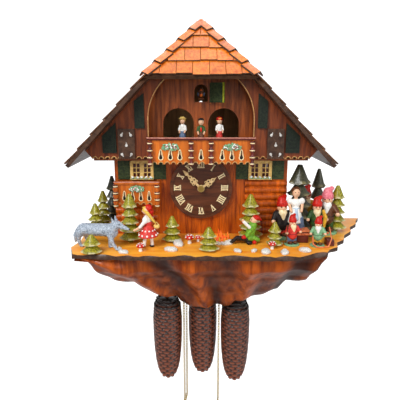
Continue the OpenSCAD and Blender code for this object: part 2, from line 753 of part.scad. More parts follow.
module workbench() {
  color("brown") {
    bar(184, 206, 161, 181, base_z, base_z + 24);
    bar(236, 250, 180, 200, base_z, base_z + 12);
  }
}

// ---------- draw ----------
back_panel();
side_walls();
front_wall();
stage_floor();
gable_board();
stage_wall();
roof_boards();
main_shingles();
hip_shingles();
ridge_tiles();
balcony_panels();
balcony_rails();
side_balcony();
window_frames();
green_shutters();
leaf_shutters();
gable_shutters();
garlands();
platform();
carved_skirt();
dial();
numerals();
movement_frame();
fir_trees();
mushrooms();
stones();
wolf();
girl();
seated_man();
gnomes();
lady();
workbench();
bellows();
gong();
music_box();
centre_arbor();
minute_hand();
hour_wheel();
hour_hand();
minute_wheel();
cuckoo_door();
cuckoo_bird();
carousel();
dancers();
pendulum();
pine_cone(chains[0]);  // pine_cone_left
pine_cone(chains[1]);  // pine_cone_centre
pine_cone(chains[2]);  // pine_cone_right
weight_chain(chains[0]);  // weight_chain_left
weight_chain(chains[1]);  // weight_chain_centre
weight_chain(chains[2]);  // weight_chain_right
free_chain(chains[0]);  // free_chain_left
free_chain(chains[1]);  // free_chain_centre
free_chain(chains[2]);  // free_chain_right
chain_wheel(chains[0]);  // chain_wheel_left
chain_wheel(chains[1]);  // chain_wheel_centre
chain_wheel(chains[2]);  // chain_wheel_right
gong_hammer();
music_cylinder();
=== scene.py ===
# %% [markdown]
# # A chalet cuckoo clock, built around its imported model
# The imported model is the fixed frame: every node already sits where the real
# piece sits, in metres, with the hanging hole at the origin, the wall at y = 0
# and the front towards -Y. This lesson gives each node a finish, and swaps the
# plain ones for pieces with the detail a maker would put in.

# %% Load the frame
import math
import random

import bpy
from mathutils import Matrix, Vector


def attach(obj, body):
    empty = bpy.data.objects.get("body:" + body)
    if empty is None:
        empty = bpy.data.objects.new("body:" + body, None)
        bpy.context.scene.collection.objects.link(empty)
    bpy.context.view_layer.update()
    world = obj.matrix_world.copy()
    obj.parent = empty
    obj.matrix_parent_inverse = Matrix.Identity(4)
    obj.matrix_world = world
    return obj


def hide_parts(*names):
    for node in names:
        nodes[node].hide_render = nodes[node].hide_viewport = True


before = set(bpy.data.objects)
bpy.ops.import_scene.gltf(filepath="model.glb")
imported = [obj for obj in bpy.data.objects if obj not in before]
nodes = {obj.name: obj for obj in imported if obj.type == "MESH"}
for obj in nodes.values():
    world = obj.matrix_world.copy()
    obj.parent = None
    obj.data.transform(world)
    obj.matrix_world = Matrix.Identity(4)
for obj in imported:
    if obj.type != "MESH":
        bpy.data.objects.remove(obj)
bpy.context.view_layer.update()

# %% [markdown]
# ## Small helpers
# An operator acts on everything that is selected, and loading leaves the nodes
# selected. These helpers always clear the selection first, so each operator
# touches only the piece in hand.

# %% Selecting, settling and finishing
mm = 0.001


def only(*objs):
    bpy.ops.object.select_all(action="DESELECT")
    for o in objs:
        o.select_set(True)
    bpy.context.view_layer.objects.active = objs[0]


def settle(o):
    only(o)
    bpy.ops.object.transform_apply(location=True, rotation=True, scale=True)
    return o


def fresh(kind, stretch=(1, 1, 1), **how):
    """A new primitive, stretched, with its place in its mesh."""
    bpy.ops.object.select_all(action="DESELECT")
    getattr(bpy.ops.mesh, "primitive_" + kind + "_add")(**how)
    bpy.context.object.scale = stretch
    return settle(bpy.context.object)


def torus(around, across, major, minor, **how):
    """A ring, from its segments round and across and its two radii in mm."""
    return fresh("torus", major_segments=around, minor_segments=across,
                 major_radius=major * mm, minor_radius=minor * mm, **how)


def apply_modifier(o, kind, **values):
    m = o.modifiers.new(kind.lower(), kind)
    for key, value in values.items():
        setattr(m, key, value)
    only(o)
    bpy.ops.object.modifier_apply(modifier=m.name)
    return o


def bevelled(o, width, segments=2):
    return apply_modifier(o, "BEVEL", width=width, segments=segments, limit_method="ANGLE")


def pick(o, test):
    """Selects the vertices that pass the test, and opens edit mode on them."""
    only(o)
    for f in o.data.polygons:
        f.select = False
    for e in o.data.edges:
        e.select = False
    for v in o.data.vertices:
        v.select = bool(test(v.co))
    bpy.ops.object.mode_set(mode="EDIT")
    bpy.ops.mesh.select_mode(type="VERT")


def pick_all(o):
    pick(o, lambda co: True)
    bpy.ops.mesh.select_all(action="SELECT")


def leave_edit():
    bpy.ops.object.mode_set(mode="OBJECT")


def shift(o, test, by):
    """Moves the points that pass the test."""
    pick(o, test)
    bpy.ops.transform.translate(value=by)
    leave_edit()


def squeeze(o, test, by):
    """Scales the points that pass the test about their middle."""
    pick(o, test)
    bpy.ops.transform.resize(value=by)
    leave_edit()


def cut(o, at, facing, **how):
    """Bisects the whole piece by a plane."""
    pick_all(o)
    bpy.ops.mesh.bisect(plane_co=at, plane_no=facing, **how)
    leave_edit()


def between(table, at, otherwise):
    """The value at a place in a table of (place, value), straight between its rows."""
    for (pa, qa), (pb, qb) in zip(table, table[1:]):
        if min(pa, pb) <= at <= max(pa, pb):
            return qa + (qb - qa) * (at - pa) / (pb - pa)
    return otherwise


def box(low, high):
    """A cube from corner to corner, given in millimetres."""
    mid = [(a + b) / 2 * mm for a, b in zip(low, high)]
    size = [abs(b - a) * mm for a, b in zip(low, high)]
    return fresh("cube", size, size=1, location=mid)


def copy_of(o):
    c = o.copy()
    c.data = o.data.copy()
    bpy.context.scene.collection.objects.link(c)
    return c


def joined(objs):
    only(*objs)
    if len(objs) > 1:
        bpy.ops.object.join()
    return objs[0]


def smooth(o, angle=40):
    only(o)
    bpy.ops.object.shade_smooth_by_angle(angle=math.radians(angle))
    return o


def outward(o):
    pick_all(o)
    bpy.ops.mesh.remove_doubles(threshold=0.00001)
    bpy.ops.mesh.normals_make_consistent(inside=False)
    leave_edit()
    return o


def place(o, name, finish, body="case", stands_for=()):
    """Names a piece, paints it, and fixes it to its body."""
    o.name = name
    o.data.name = name
    if finish is not None:
        o.data.materials.clear()
        o.data.materials.append(finish)
    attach(o, body)
    for n in stands_for:
        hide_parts(n)
    return o


# %% [markdown]
# ## Camera
# The clock hangs at eye height and is seen straight on, from a little above:
# the tops of the base and the hipped roof both show. A lens of about 39 mm on
# a 36 mm sensor at just under a metre gives the same perspective.

# %% Camera
bpy.ops.object.select_all(action="DESELECT")
bpy.ops.object.camera_add(location=(-0.002, -0.97, 0.005), rotation=(math.radians(77.0), 0, 0))
camera = bpy.context.object
camera.name = "camera"
camera.data.lens = 38.84
camera.data.sensor_width = 36
camera.data.clip_start = 0.01
bpy.context.scene.camera = camera

# %% [markdown]
# ## Chains
# Each chain is made of small soldered links, every second one turned a quarter.
# One link is a torus drawn out long. It is copied along a route, each copy with
# its own mesh. The weight's side hangs straight from its chain wheel to the cone's
# hook; the free side hangs straight down too, and its surplus is wound up into a
# hank and tied, so the whole clock can be put away.

# %% One link
LINK_PITCH = 6.2 * mm
UPRIGHT = (math.radians(90), 0, 0)
link = torus(12, 4, 2.1, 0.95, rotation=UPRIGHT)
for end in (1, -1):
    shift(link, lambda co: co.z * end > 0.1 * mm, (0, 0, end * 1.85 * mm))
link = smooth(link, 60)
print("link:", len(link.data.polygons), "faces")


# %% Links along a route
def spaced(points, pitch):
    """Points every pitch along a route, each with its direction."""
    out, need = [], pitch / 2
    for a, b in zip(points, points[1:]):
        step = b - a
        length = step.length
        at = need
        while at <= length:
            out.append((a + step * (at / length), step.normalized()))
            at += pitch
        need = at - length
    return out


def chain(route, name):
    parts = []
    for k, (p, along) in enumerate(spaced(route, LINK_PITCH)):
        turn = along.to_track_quat("Z", "Y").to_matrix().to_4x4()
        quarter = Matrix.Rotation(math.radians(45 + 90 * (k % 2)), 4, "Z")
        c = copy_of(link)
        c.data.transform(Matrix.Translation(p) @ turn @ quarter)
        parts.append(c)
    o = joined(parts)
    print(name, len(parts), "links")
    return o


def route_length(points):
    return sum((b - a).length for a, b in zip(points, points[1:]))


# %% [markdown]
# Every finish is a small tree of nodes. Two helpers add a node with its values
# and join the sockets, so that each tree reads as a list.

# %% Shader helpers
def shader(name):
    m = bpy.data.materials.new(name)
    m.use_nodes = True
    return m, m.node_tree, m.node_tree.nodes["Principled BSDF"]


def add(tree, kind, settings=(), **inputs):
    """A shader node, its settings and the values of its inputs."""
    node = tree.nodes.new("ShaderNode" + kind)
    for key, value in dict(settings).items():
        setattr(node, key, value)
    for label, value in inputs.items():
        node.inputs[label.replace("_", " ")].default_value = value
    return node


def wire(tree, *joins):
    """Each join is a node, its output, the next node and its input."""
    for a, out, b, into in joins:
        tree.links.new(a.outputs[out], b.inputs[into])


def tone(r, g, b):
    """A colour from a paint chart's 0 to 255 values, as light."""
    return tuple((c / 255) ** 2.2 for c in (r, g, b)) + (1.0,)


def group(name, inputs, outputs):
    g = bpy.data.node_groups.new(name, "ShaderNodeTree")
    for label, kind, value in inputs:
        s = g.interface.new_socket(label, in_out="INPUT", socket_type=kind)
        if value is not None:
            s.default_value = value
    for label, kind in outputs:
        g.interface.new_socket(label, in_out="OUTPUT", socket_type=kind)
    return g, g.nodes.new("NodeGroupInput"), g.nodes.new("NodeGroupOutput")


# %% [markdown]
# ## Shared effects
# Three effects serve nearly every finish: wood grain, hand-brushed paint, and
# the fine scratches of handled metal. Each is a node group with named inputs,
# built once. They give only colours, roughness and height; the shader itself
# stays in each material.

# %% Wood grain
FLOAT, COLOUR, VECTOR = "NodeSocketFloat", "NodeSocketColor", "NodeSocketVector"
grain, g_in, g_out = group("wood grain", [
    ("Place", VECTOR, None), ("Light", COLOUR, None), ("Dark", COLOUR, None),
    ("Streaks", FLOAT, 90.0), ("Tint", FLOAT, 0.5)],
    [("Color", COLOUR), ("Height", FLOAT), ("Roughness", FLOAT)])
COLOURS = {"data_type": "RGBA"}
SCALED = {"operation": "SCALE"}
away = add(grain, "VectorMath", SCALED)
away.inputs[0].default_value = (1.7, 2.9, 3.7)
shifted = add(grain, "VectorMath")
piece_tone = add(grain, "MapRange", To_Min=0.72, To_Max=1.28)
toned = add(grain, "VectorMath", SCALED)
streak = add(grain, "TexNoise", Detail=8, Roughness=0.62, Distortion=0.5)
pores = add(grain, "TexNoise", Detail=3)
finer = add(grain, "Math", {"operation": "MULTIPLY"})
finer.inputs[1].default_value = 5.0
cloud = add(grain, "TexNoise", Scale=14.0, Detail=2)
ramp = add(grain, "MapRange", From_Min=0.33, From_Max=0.68)
mix = add(grain, "Mix", COLOURS)
shade = add(grain, "Mix", {**COLOURS, "blend_type": "MULTIPLY"}, Factor=0.55)
pale = add(grain, "MapRange", To_Min=0.62, To_Max=1.25)
rough = add(grain, "MapRange", To_Min=0.52, To_Max=0.30)
wire(grain, (g_in, "Tint", away, "Scale"), (g_in, "Tint", piece_tone, "Value"),
     (g_in, "Place", shifted, 0), (away, 0, shifted, 1), (shifted, 0, streak, "Vector"),
     (g_in, "Streaks", streak, "Scale"), (g_in, "Streaks", finer, 0), (finer, 0, pores, "Scale"),
     (g_in, "Place", pores, "Vector"), (g_in, "Place", cloud, "Vector"), (streak, "Fac", ramp, "Value"),
     (ramp, "Result", mix, "Factor"), (g_in, "Dark", mix, "A"), (g_in, "Light", mix, "B"),
     (mix, "Result", shade, "A"), (cloud, "Fac", pale, "Value"), (pale, "Result", shade, "B"),
     (shade, "Result", toned, 0), (piece_tone, "Result", toned, "Scale"), (toned, 0, g_out, "Color"),
     (pores, "Fac", g_out, "Height"), (streak, "Fac", rough, "Value"),
     (rough, "Result", g_out, "Roughness"))

# %% Brushed paint
brushed, g_in, g_out = group("brushed paint", [
    ("Place", VECTOR, None), ("Paint", COLOUR, None), ("Shade", COLOUR, None), ("Tip", COLOUR, None),
    ("Size", FLOAT, 220.0), ("Tint", FLOAT, 0.0)],
    [("Color", COLOUR), ("Height", FLOAT), ("Roughness", FLOAT)])
strokes = add(brushed, "TexNoise", Detail=5, Roughness=0.6)
spread = add(brushed, "MapRange", From_Min=0.36, From_Max=0.62)
mix = add(brushed, "Mix", COLOURS)
sheen = add(brushed, "MapRange", To_Min=0.5, To_Max=0.32)
tipped = add(brushed, "Mix", COLOURS)
wire(brushed, (g_in, "Place", strokes, "Vector"), (g_in, "Size", strokes, "Scale"),
     (strokes, "Fac", spread, "Value"), (spread, "Result", mix, "Factor"),
     (g_in, "Shade", mix, "A"), (g_in, "Paint", mix, "B"), (g_in, "Tint", tipped, "Factor"),
     (mix, "Result", tipped, "A"), (g_in, "Tip", tipped, "B"), (tipped, "Result", g_out, "Color"),
     (strokes, "Fac", g_out, "Height"), (strokes, "Fac", sheen, "Value"),
     (sheen, "Result", g_out, "Roughness"))

# %% Handled metal
handled, g_in, g_out = group("handled metal", [
    ("Place", VECTOR, None), ("Metal", COLOUR, None), ("Tarnish", COLOUR, None), ("Size", FLOAT, 160.0)],
    [("Color", COLOUR), ("Height", FLOAT), ("Roughness", FLOAT)])
cloudy = add(handled, "TexNoise", Detail=6)
mix = add(handled, "Mix", COLOURS)
dull = add(handled, "MapRange", To_Min=0.22, To_Max=0.42)
wire(handled, (g_in, "Place", cloudy, "Vector"), (g_in, "Size", cloudy, "Scale"),
     (cloudy, "Fac", mix, "Factor"), (g_in, "Metal", mix, "A"), (g_in, "Tarnish", mix, "B"),
     (mix, "Result", g_out, "Color"), (cloudy, "Fac", g_out, "Height"),
     (cloudy, "Fac", dull, "Value"), (dull, "Result", g_out, "Roughness"))
print("groups:", [g.name for g in (grain, brushed, handled)])


# %% [markdown]
# ## Turning an effect into a finish
# A finish joins one effect to a shader. Wood takes a stretched Object
# coordinate, so its streaks run along the board; gloss lacquer is a coat on top.

# %% Finish makers
def finish(name, effect, colours, size, size_name, stretch=(1, 1, 1), bump=0.15, bump_depth=0.0004,
           metallic=0.0, coat=0.0, coat_rough=0.12, specular=0.28, rough=None, tinted=False):
    m, tree, bsdf = shader(name)
    where = add(tree, "TexCoord")
    stretched = add(tree, "Mapping", Scale=stretch)
    look = add(tree, "Group", {"node_tree": effect}, **{size_name: size}, **colours)
    relief = add(tree, "Bump", Strength=bump, Distance=bump_depth)
    if tinted:
        own = add(tree, "Attribute", {"attribute_name": "tint"})
        wire(tree, (own, "Fac", look, "Tint"))
    wire(tree, (where, "Object", stretched, "Vector"), (stretched, "Vector", look, "Place"),
         (look, "Color", bsdf, "Base Color"), (look, "Height", relief, "Height"),
         (relief, "Normal", bsdf, "Normal"))
    if rough is None:
        wire(tree, (look, "Roughness", bsdf, "Roughness"))
    else:
        bsdf.inputs["Roughness"].default_value = rough
    bsdf.inputs["Metallic"].default_value = metallic
    bsdf.inputs["Coat Weight"].default_value = coat
    bsdf.inputs["Coat Roughness"].default_value = coat_rough
    bsdf.inputs["Specular IOR Level"].default_value = specular
    return m


ALONG = {"x": (0.1, 1, 1), "y": (1, 0.1, 1), "z": (1, 1, 0.1)}


def wood(name, light, dark, along="z", streaks=110.0, **more):
    return finish(name, grain, {"Light": tone(*light), "Dark": tone(*dark)}, streaks, "Streaks",
                  stretch=ALONG[along], **more)


def paint(name, colour, shade, size=260.0, tip=(255, 255, 255), **more):
    return finish(name, brushed, {"Paint": tone(*colour), "Shade": tone(*shade), "Tip": tone(*tip)},
                  size, "Size", **more)


def metal(name, colour, tarnish, **more):
    return finish(name, handled, {"Metal": tone(*colour), "Tarnish": tone(*tarnish)}, 160.0, "Size",
                  metallic=1.0, bump=0.05, **more)


chain_brass = metal("chain brass", (214, 186, 112), (142, 112, 56))
brass = metal("cut brass", (222, 186, 108), (176, 138, 66))
steel = metal("drawn steel", (190, 190, 194), (120, 120, 126))

# %% [markdown]
# ## The chains' routes
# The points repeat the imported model's routes. A hank is flat loops one beside
# the other, as wide as the chain bends easily, and a wire tie holds its middle.

# %% Routes, chains, ties and rings
WHEEL_Z = -190
FREE_TOP, HANK_TOP, HANK_LOW = -245, -700, -817
CHAINS = {"left": (-73, -37, 106, -605), "centre": (4, -32, 84, -606), "right": (75, 39, 106, -611)}
CONE_L = 200
BEND_TOP, BEND_LOW = -660, -722
FOLD_R, FOLD_ROOM = 11.2, 13.5
LAYER = 3.9


def v(x, y, z):
    return Vector((x * mm, -y * mm, z * mm))


def hank_route(x, y):
    """Straight down, over to one side, then four long flat loops and a last run down."""
    pts = [v(x, y, z) for z in (FREE_TOP, -300, -400, -500, -600, BEND_TOP)]
    for k in range(1, 9):
        t = k / 8
        pts.append(v(x - FOLD_R * (3 * t * t - 2 * t ** 3), y - 2 * LAYER * t,
                     BEND_TOP + (BEND_LOW - BEND_TOP) * t))
    high, low = HANK_TOP - FOLD_ROOM, HANK_LOW + FOLD_ROOM
    for k in range(4):
        depth = y + (k - 2) * LAYER
        for way, start, end in ((-1, 0, low), (1, 180, high)):
            for a in range(0, 181, 15):
                c, s = math.cos(math.radians(a)), math.sin(math.radians(a))
                pts.append(v(x + way * c * FOLD_R, depth + LAYER * (start + a) / 360,
                             end + way * s * FOLD_R))
    pts.append(v(x - FOLD_R, y + 2 * LAYER, low - 2))
    return pts


for side, (wx, fx, y, tip) in CHAINS.items():
    top_of_hook = tip + CONE_L + 13
    strand = [v(wx, y, WHEEL_Z), v(wx, y, (WHEEL_Z + top_of_hook) / 2), v(wx, y, top_of_hook)]
    weight_chain = place(chain(strand, "weight chain " + side), "weight_chain_" + side + "_links",
                         chain_brass, "weight_" + side, ["weight_chain_" + side])
    free = hank_route(fx, y)
    free_chain = place(chain(free, "free chain " + side), "free_chain_" + side + "_links", chain_brass,
                       "free_chain_" + side, ["free_chain_" + side])
    tie = torus(32, 8, 11, 0.9, stretch=(1.28, 1, 2.2), location=v(fx, y, (HANK_TOP + HANK_LOW) / 2))
    place(smooth(tie, 60), "hank_tie_" + side, brass, "free_chain_" + side)
    ring = torus(24, 8, 4.0, 0.8, location=free[-1] - Vector((0, 0, 4 * mm)), rotation=UPRIGHT)
    place(smooth(ring, 60), "end_ring_" + side, brass, "free_chain_" + side)
    print(side, "free chain", round(route_length(free), 3), "m")
bpy.data.objects.remove(link)

# %% [markdown]
# ## Room and light
# A clock needs a plain wall to read against. The backdrop is one sheet that
# curves from floor to wall, and three soft lamps stand in for a light tent.

# %% Backdrop and lamps
FLOOR_Z = -1.15
sweep = fresh("plane", size=12, location=(0, 0, FLOOR_Z))
shift(sweep, lambda co: co.y > 1, (0, -3.2, 0))
pick(sweep, lambda co: co.y > 1)
bpy.ops.mesh.extrude_region_move(TRANSFORM_OT_translate={"value": (0, 0.0, 8)})
leave_edit()
bevelled(sweep, 1.0, 8)
smooth(sweep, 80)
sweep.name = "backdrop"
cloth_white, tree, bsdf = shader("backdrop white")
bsdf.inputs["Base Color"].default_value = (0.62, 0.62, 0.62, 1)
bsdf.inputs["Roughness"].default_value = 0.9
bsdf.inputs["Specular IOR Level"].default_value = 0.1
bsdf.inputs["Emission Color"].default_value = (1, 1, 1, 1)
seen = add(tree, "LightPath")
lit = add(tree, "Math", {"operation": "MULTIPLY"})
lit.inputs[1].default_value = 0.7
wire(tree, (seen, "Is Camera Ray", lit, 0), (lit, 0, bsdf, "Emission Strength"))
sweep.data.materials.append(cloth_white)


def lamp(name, place_at, aim, size, power):
    bpy.ops.object.select_all(action="DESELECT")
    bpy.ops.object.light_add(type="AREA", location=place_at)
    o = bpy.context.object
    o.name = name
    o.rotation_euler = (Vector(aim) - Vector(place_at)).to_track_quat("-Z", "Y").to_euler()
    o.data.size = size
    o.data.energy = power
    return o


lamp("key lamp", (-0.9, -1.5, 1.1), (0, 0, -0.2), 0.8, 33)
lamp("fill lamp", (1.2, -1.5, 0.3), (0, 0, -0.3), 1.2, 12)
lamp("wall lamp", (0, 1.3, 2.2), (0, 2.6, -0.2), 2.5, 60)
world = bpy.data.worlds.new("light tent")
world.use_nodes = True
world.node_tree.nodes["Background"].inputs["Color"].default_value = (1, 1, 1, 1)
world.node_tree.nodes["Background"].inputs["Strength"].default_value = 0.45
bpy.context.scene.world = world
bpy.context.scene.view_settings.view_transform = "Standard"

# %% [markdown]
# ## Finishes
# The case is stained lime wood with a lacquer that has gone amber. Small parts
# are painted by hand in thin body colour, so each shows brush marks.

# %% Woods
front_stain = wood("stained front boards", (224, 106, 22), (120, 46, 10), "z", streaks=150, coat=0.3)
stage_stain = wood("stage boards", (186, 96, 46), (88, 40, 18), "z", streaks=150, coat=0.2)
plain_lime = wood("plain lime wood", (205, 160, 105), (160, 115, 70), "z", rough=0.6)
case_stain = wood("case stain", (150, 78, 34), (88, 42, 18), "z", coat=0.25)
gable_stain = wood("gable boards", (146, 72, 34), (80, 36, 20), "z", streaks=150, coat=0.25)
dark_stain = wood("dark stain", (92, 66, 50), (52, 34, 26), "y", coat=0.15)
dial_stain = wood("dial face", (112, 62, 36), (66, 36, 22), "x", coat=0.4)
base_wood = wood("gouged base", (255, 184, 66), (234, 134, 34), "x", streaks=70, coat=0.4, bump=0.3)
# the near-black tip colour is painted shade, laid into the apron's hollows and ends by its tint
skirt_wood = paint("carved skirt wood", (196, 92, 26), (116, 48, 16), 70, (48, 22, 14), stretch=ALONG["z"],
                   bump=0.3, bump_depth=0.0008, tinted=True, coat=0.2, coat_rough=0.18, specular=0.14)
shingle_tan = wood("hip shingle", (240, 138, 44), (196, 86, 18), "z", streaks=150, coat=0.25, tinted=True)
shingle_side = wood("side shingle", (196, 120, 66), (112, 66, 38), "x", streaks=120, coat=0.3, tinted=True)
rail_red = wood("dark red rail", (122, 46, 38), (66, 24, 22), "x", coat=0.5)
panel_orange = wood("orange balcony", (226, 122, 36), (164, 70, 18), "z", coat=0.4)

# %% Paints and metals
cream = paint("cream paint", (250, 232, 190), (232, 206, 152))
green = paint("shutter green", (66, 76, 46), (36, 46, 30))
# painted shade: a darker copy of the shutter green, for the gable shutters under the roof
shaded_shutter_green = paint("shaded shutter green", (40, 48, 36), (22, 28, 24))
window_cream = paint("window cream", (232, 196, 122), (200, 158, 86))
trim_tan = paint("trim tan", (216, 168, 108), (178, 128, 76))
numeral_cream = paint("numeral cream", (246, 228, 180), (228, 206, 156), coat=0.4)
hand_tan = paint("hand tan", (222, 192, 138), (190, 156, 104), coat=0.4)
# painted highlight colour for the rails' lit top edges
rail_painted_highlight = paint("rail highlight", (216, 150, 130), (186, 116, 100))
petal_grey = paint("petal grey", (214, 212, 206), (164, 160, 156))
mint = paint("garland green", (150, 196, 150), (84, 132, 92), 900)
white = paint("white paint", (250, 250, 246), (226, 226, 218))
pink = paint("flower pink", (240, 140, 150), (214, 92, 110))
red = paint("scarlet paint", (214, 44, 30), (164, 24, 18))
skirt_red = paint("skirt red", (224, 70, 60), (180, 40, 38))
dark_red = paint("window glass red", (92, 26, 24), (60, 14, 16), coat=0.9)
skin = paint("doll skin", (240, 196, 160), (226, 170, 132))
blonde = paint("blonde hair", (238, 204, 96), (206, 160, 58), 500)
black = paint("black paint", (44, 36, 34), (24, 20, 20))
bright_green = paint("jacket green", (132, 184, 62), (84, 136, 36))
deep_green = paint("deep green", (66, 96, 48), (40, 66, 34))
blue_grey = paint("blue grey", (110, 130, 160), (74, 92, 120))
yellow = paint("ochre yellow", (232, 178, 60), (196, 136, 36))
brown = paint("boot brown", (110, 66, 40), (74, 42, 26))
wolf_grey = paint("wolf grey", (190, 200, 212), (118, 130, 146), 380, bump=0.4, bump_depth=0.0006)
pebble = paint("white pebble", (236, 234, 228), (190, 188, 182), 500)
straw = paint("straw", (240, 206, 122), (206, 166, 84), 700)
fir_olive = paint("carved fir", (176, 166, 44), (88, 88, 22), 420, (226, 218, 178), bump=0.5,
                  bump_depth=0.0008,
                  tinted=True, coat=0.3)
fir_dark = paint("dark fir", (82, 80, 62), (46, 50, 38), 420, (150, 140, 100), bump=0.5, bump_depth=0.0008,
                 tinted=True, coat=0.3)
flame = paint("ember orange", (250, 132, 40), (222, 62, 22))
orange_bench = paint("bench orange", (236, 140, 90), (204, 96, 60))
# the red-brown tip colour is a painted highlight on the scales' raised lips
cone_iron_and_lip_highlight = paint("cast iron cone", (44, 30, 27), (24, 18, 17), 300, (168, 88, 58), bump=0.4,
                  bump_depth=0.0004,
                  tinted=True, coat=0.5)
print("finishes:", len(bpy.data.materials))

# %% [markdown]
# ## A turning helper and a tint
# Much of this clock is turned: posts, stems, caps, cones. A turned piece starts
# as one ring, which is extruded and resized up its profile, as on a lathe.
# Copies of one shape also get a "tint", a number per point that a finish reads,
# so no two shingles or scales are the same tone. On the apron the tint lays painted shade into the hollows,
# and on the cone scales it places a painted highlight on each lip.

# %% Turned pieces and tints
def turned(profile, centre, segments=24):
    """Turns a profile of (radius, height) in mm about a vertical line, closed at both ends."""
    x, y, z = centre
    r0, h0 = profile[0]
    bpy.ops.object.select_all(action="DESELECT")
    bpy.ops.mesh.primitive_circle_add(vertices=segments, radius=r0 * mm, fill_type="NGON",
                                      location=v(x, y, z + h0))
    o = settle(bpy.context.object)
    bpy.ops.object.mode_set(mode="EDIT")
    bpy.ops.mesh.select_all(action="SELECT")
    for (ra, ha), (rb, hb) in zip(profile, profile[1:]):
        bpy.ops.mesh.extrude_region_move(TRANSFORM_OT_translate={"value": (0, 0, (hb - ha) * mm)})
        k = rb / ra
        bpy.ops.transform.resize(value=(k, k, 1))
    bpy.ops.mesh.select_all(action="SELECT")
    bpy.ops.mesh.normals_make_consistent(inside=False)
    leave_edit()
    return o


def tint(o, value):
    """Gives every point the same tint, or one from a function of its place."""
    layer = o.data.attributes.new("tint", "FLOAT", "POINT")
    for i, vert in enumerate(o.data.vertices):
        layer.data[i].value = value(vert.co) if callable(value) else value
    return o


def frame_of(origin, down, out):
    """A placing matrix: y runs down the slope, z stands out from it."""
    y = down.normalized()
    z = (out - y * out.dot(y)).normalized()
    x = y.cross(z)
    m = Matrix((x, y, z)).transposed().to_4x4()
    m.translation = origin
    return m


# %% [markdown]
# ## Shingles
# The roof is covered with sawn shingles: thin at the head, thick at the butt,
# each course covering the heads of the one below. One shingle is modelled and
# laid course by course, each copy a little wider, lower or darker than the next.
# The hips are closed by folded cap tiles.

# %% One shingle and one cap
SLOPE = math.radians(46.7)
APEX, EAVE_X, ROOF_DEPTH, HIP_BACK, HIP_X = 160.5, 253, 185, 72, 104
HIP_LOW = APEX - HIP_X * math.tan(SLOPE)
LAYER_T, COURSE, SHINGLE_L = 5.0, 36.4, 40.0

shingle = box((-12, -SHINGLE_L, 0), (12, 0, 3.2))
shift(shingle, lambda co: co.y > -1 * mm, (0, 0, 1.5 * mm))
shift(shingle, lambda co: co.y < -30 * mm and co.z > 2 * mm, (0, 0, -1.4 * mm))
shingle.data.transform(Matrix.Translation((0, SHINGLE_L * mm, 0)))
bevelled(shingle, 0.35 * mm, 1)


def shaded_butts(o, look):
    """Two finishes on one tile: the stained face, and painted shade on the butt end that faces down the
    slope and on the sides, standing for the shadow lines between courses and tiles.
    """
    o.data.materials.append(look)
    o.data.materials.append(dark_stain)
    # painted shade: butt and side faces take the dark stain as the shadow lines under each course
    for f in o.data.polygons:
        f.material_index = 1 if f.normal.y > 0.6 or abs(f.normal.x) > 0.8 else 0
    return o


shaded_butts(shingle, shingle_tan)


def cap_tile(wing, long, fall):
    """A tile folded along its middle, to sit on a hip or ridge."""
    o = box((-wing, 0, 0), (wing, long, 3.2))
    cut(o, (0, 0, 0), (1, 0, 0))
    shift(o, lambda co: abs(co.x) > 1 * mm, (0, 0, -fall * mm))
    shift(o, lambda co: co.y > 1 * mm, (0, 0, 3.2 * mm))
    return shaded_butts(bevelled(o, 0.4 * mm, 1), shingle_tan)


# %% Lay the front hip
chance = random.Random(4)


def lay(o, matrix, wide=1.0):
    c = copy_of(o)
    c.data.transform(matrix @ Matrix.Scale(wide, 4, (1, 0, 0)))
    return tint(c, chance.uniform(0.2, 0.8))


hip_top = v(0, HIP_BACK, APEX)
hip_foot = v(0, ROOF_DEPTH, HIP_LOW)
hip_down = (hip_foot - hip_top).normalized()
hip_out = hip_down.cross(Vector((1, 0, 0)))
if hip_out.y > 0:
    hip_out = -hip_out
hip_len = (hip_foot - hip_top).length / mm
base_point = hip_top - hip_out * LAYER_T * mm
tiles = []
for row in range(4):
    butt = hip_len - row * COURSE
    reach = HIP_X * (butt - 6) / hip_len
    seams = [e + (row % 2) * 14 for e in (-74, -44, -15, 15, 44, 72)]
    edges = [-reach, *[e for e in seams if abs(e) < reach - 8], reach]
    for a, b in zip(edges, edges[1:]):
        drop = chance.uniform(-3.4, 1.2)
        at = base_point + hip_down * (butt - SHINGLE_L + drop) * mm + Vector(((a + b) / 2 * mm, 0, 0))
        tiles.append(lay(shingle, frame_of(at, hip_down, hip_out), (b - a - 0.7) / 24))
hip_edge_dir = [(v(s * HIP_X, ROOF_DEPTH, HIP_LOW) - hip_top).normalized() for s in (-1, 1)]
hip_cover = joined(tiles)
for s, edge in zip((-1, 1), hip_edge_dir):
    across = edge.cross(hip_out)
    across = across if across.x * s > 0 else -across
    cut(hip_cover, hip_top + across * 0.5 * mm, across, use_fill=True, clear_outer=True)
place(smooth(hip_cover, 30), "hip_shingle_courses", None, "case", ["hip_shingles"])
print("hip courses:", len(tiles), "shingles")

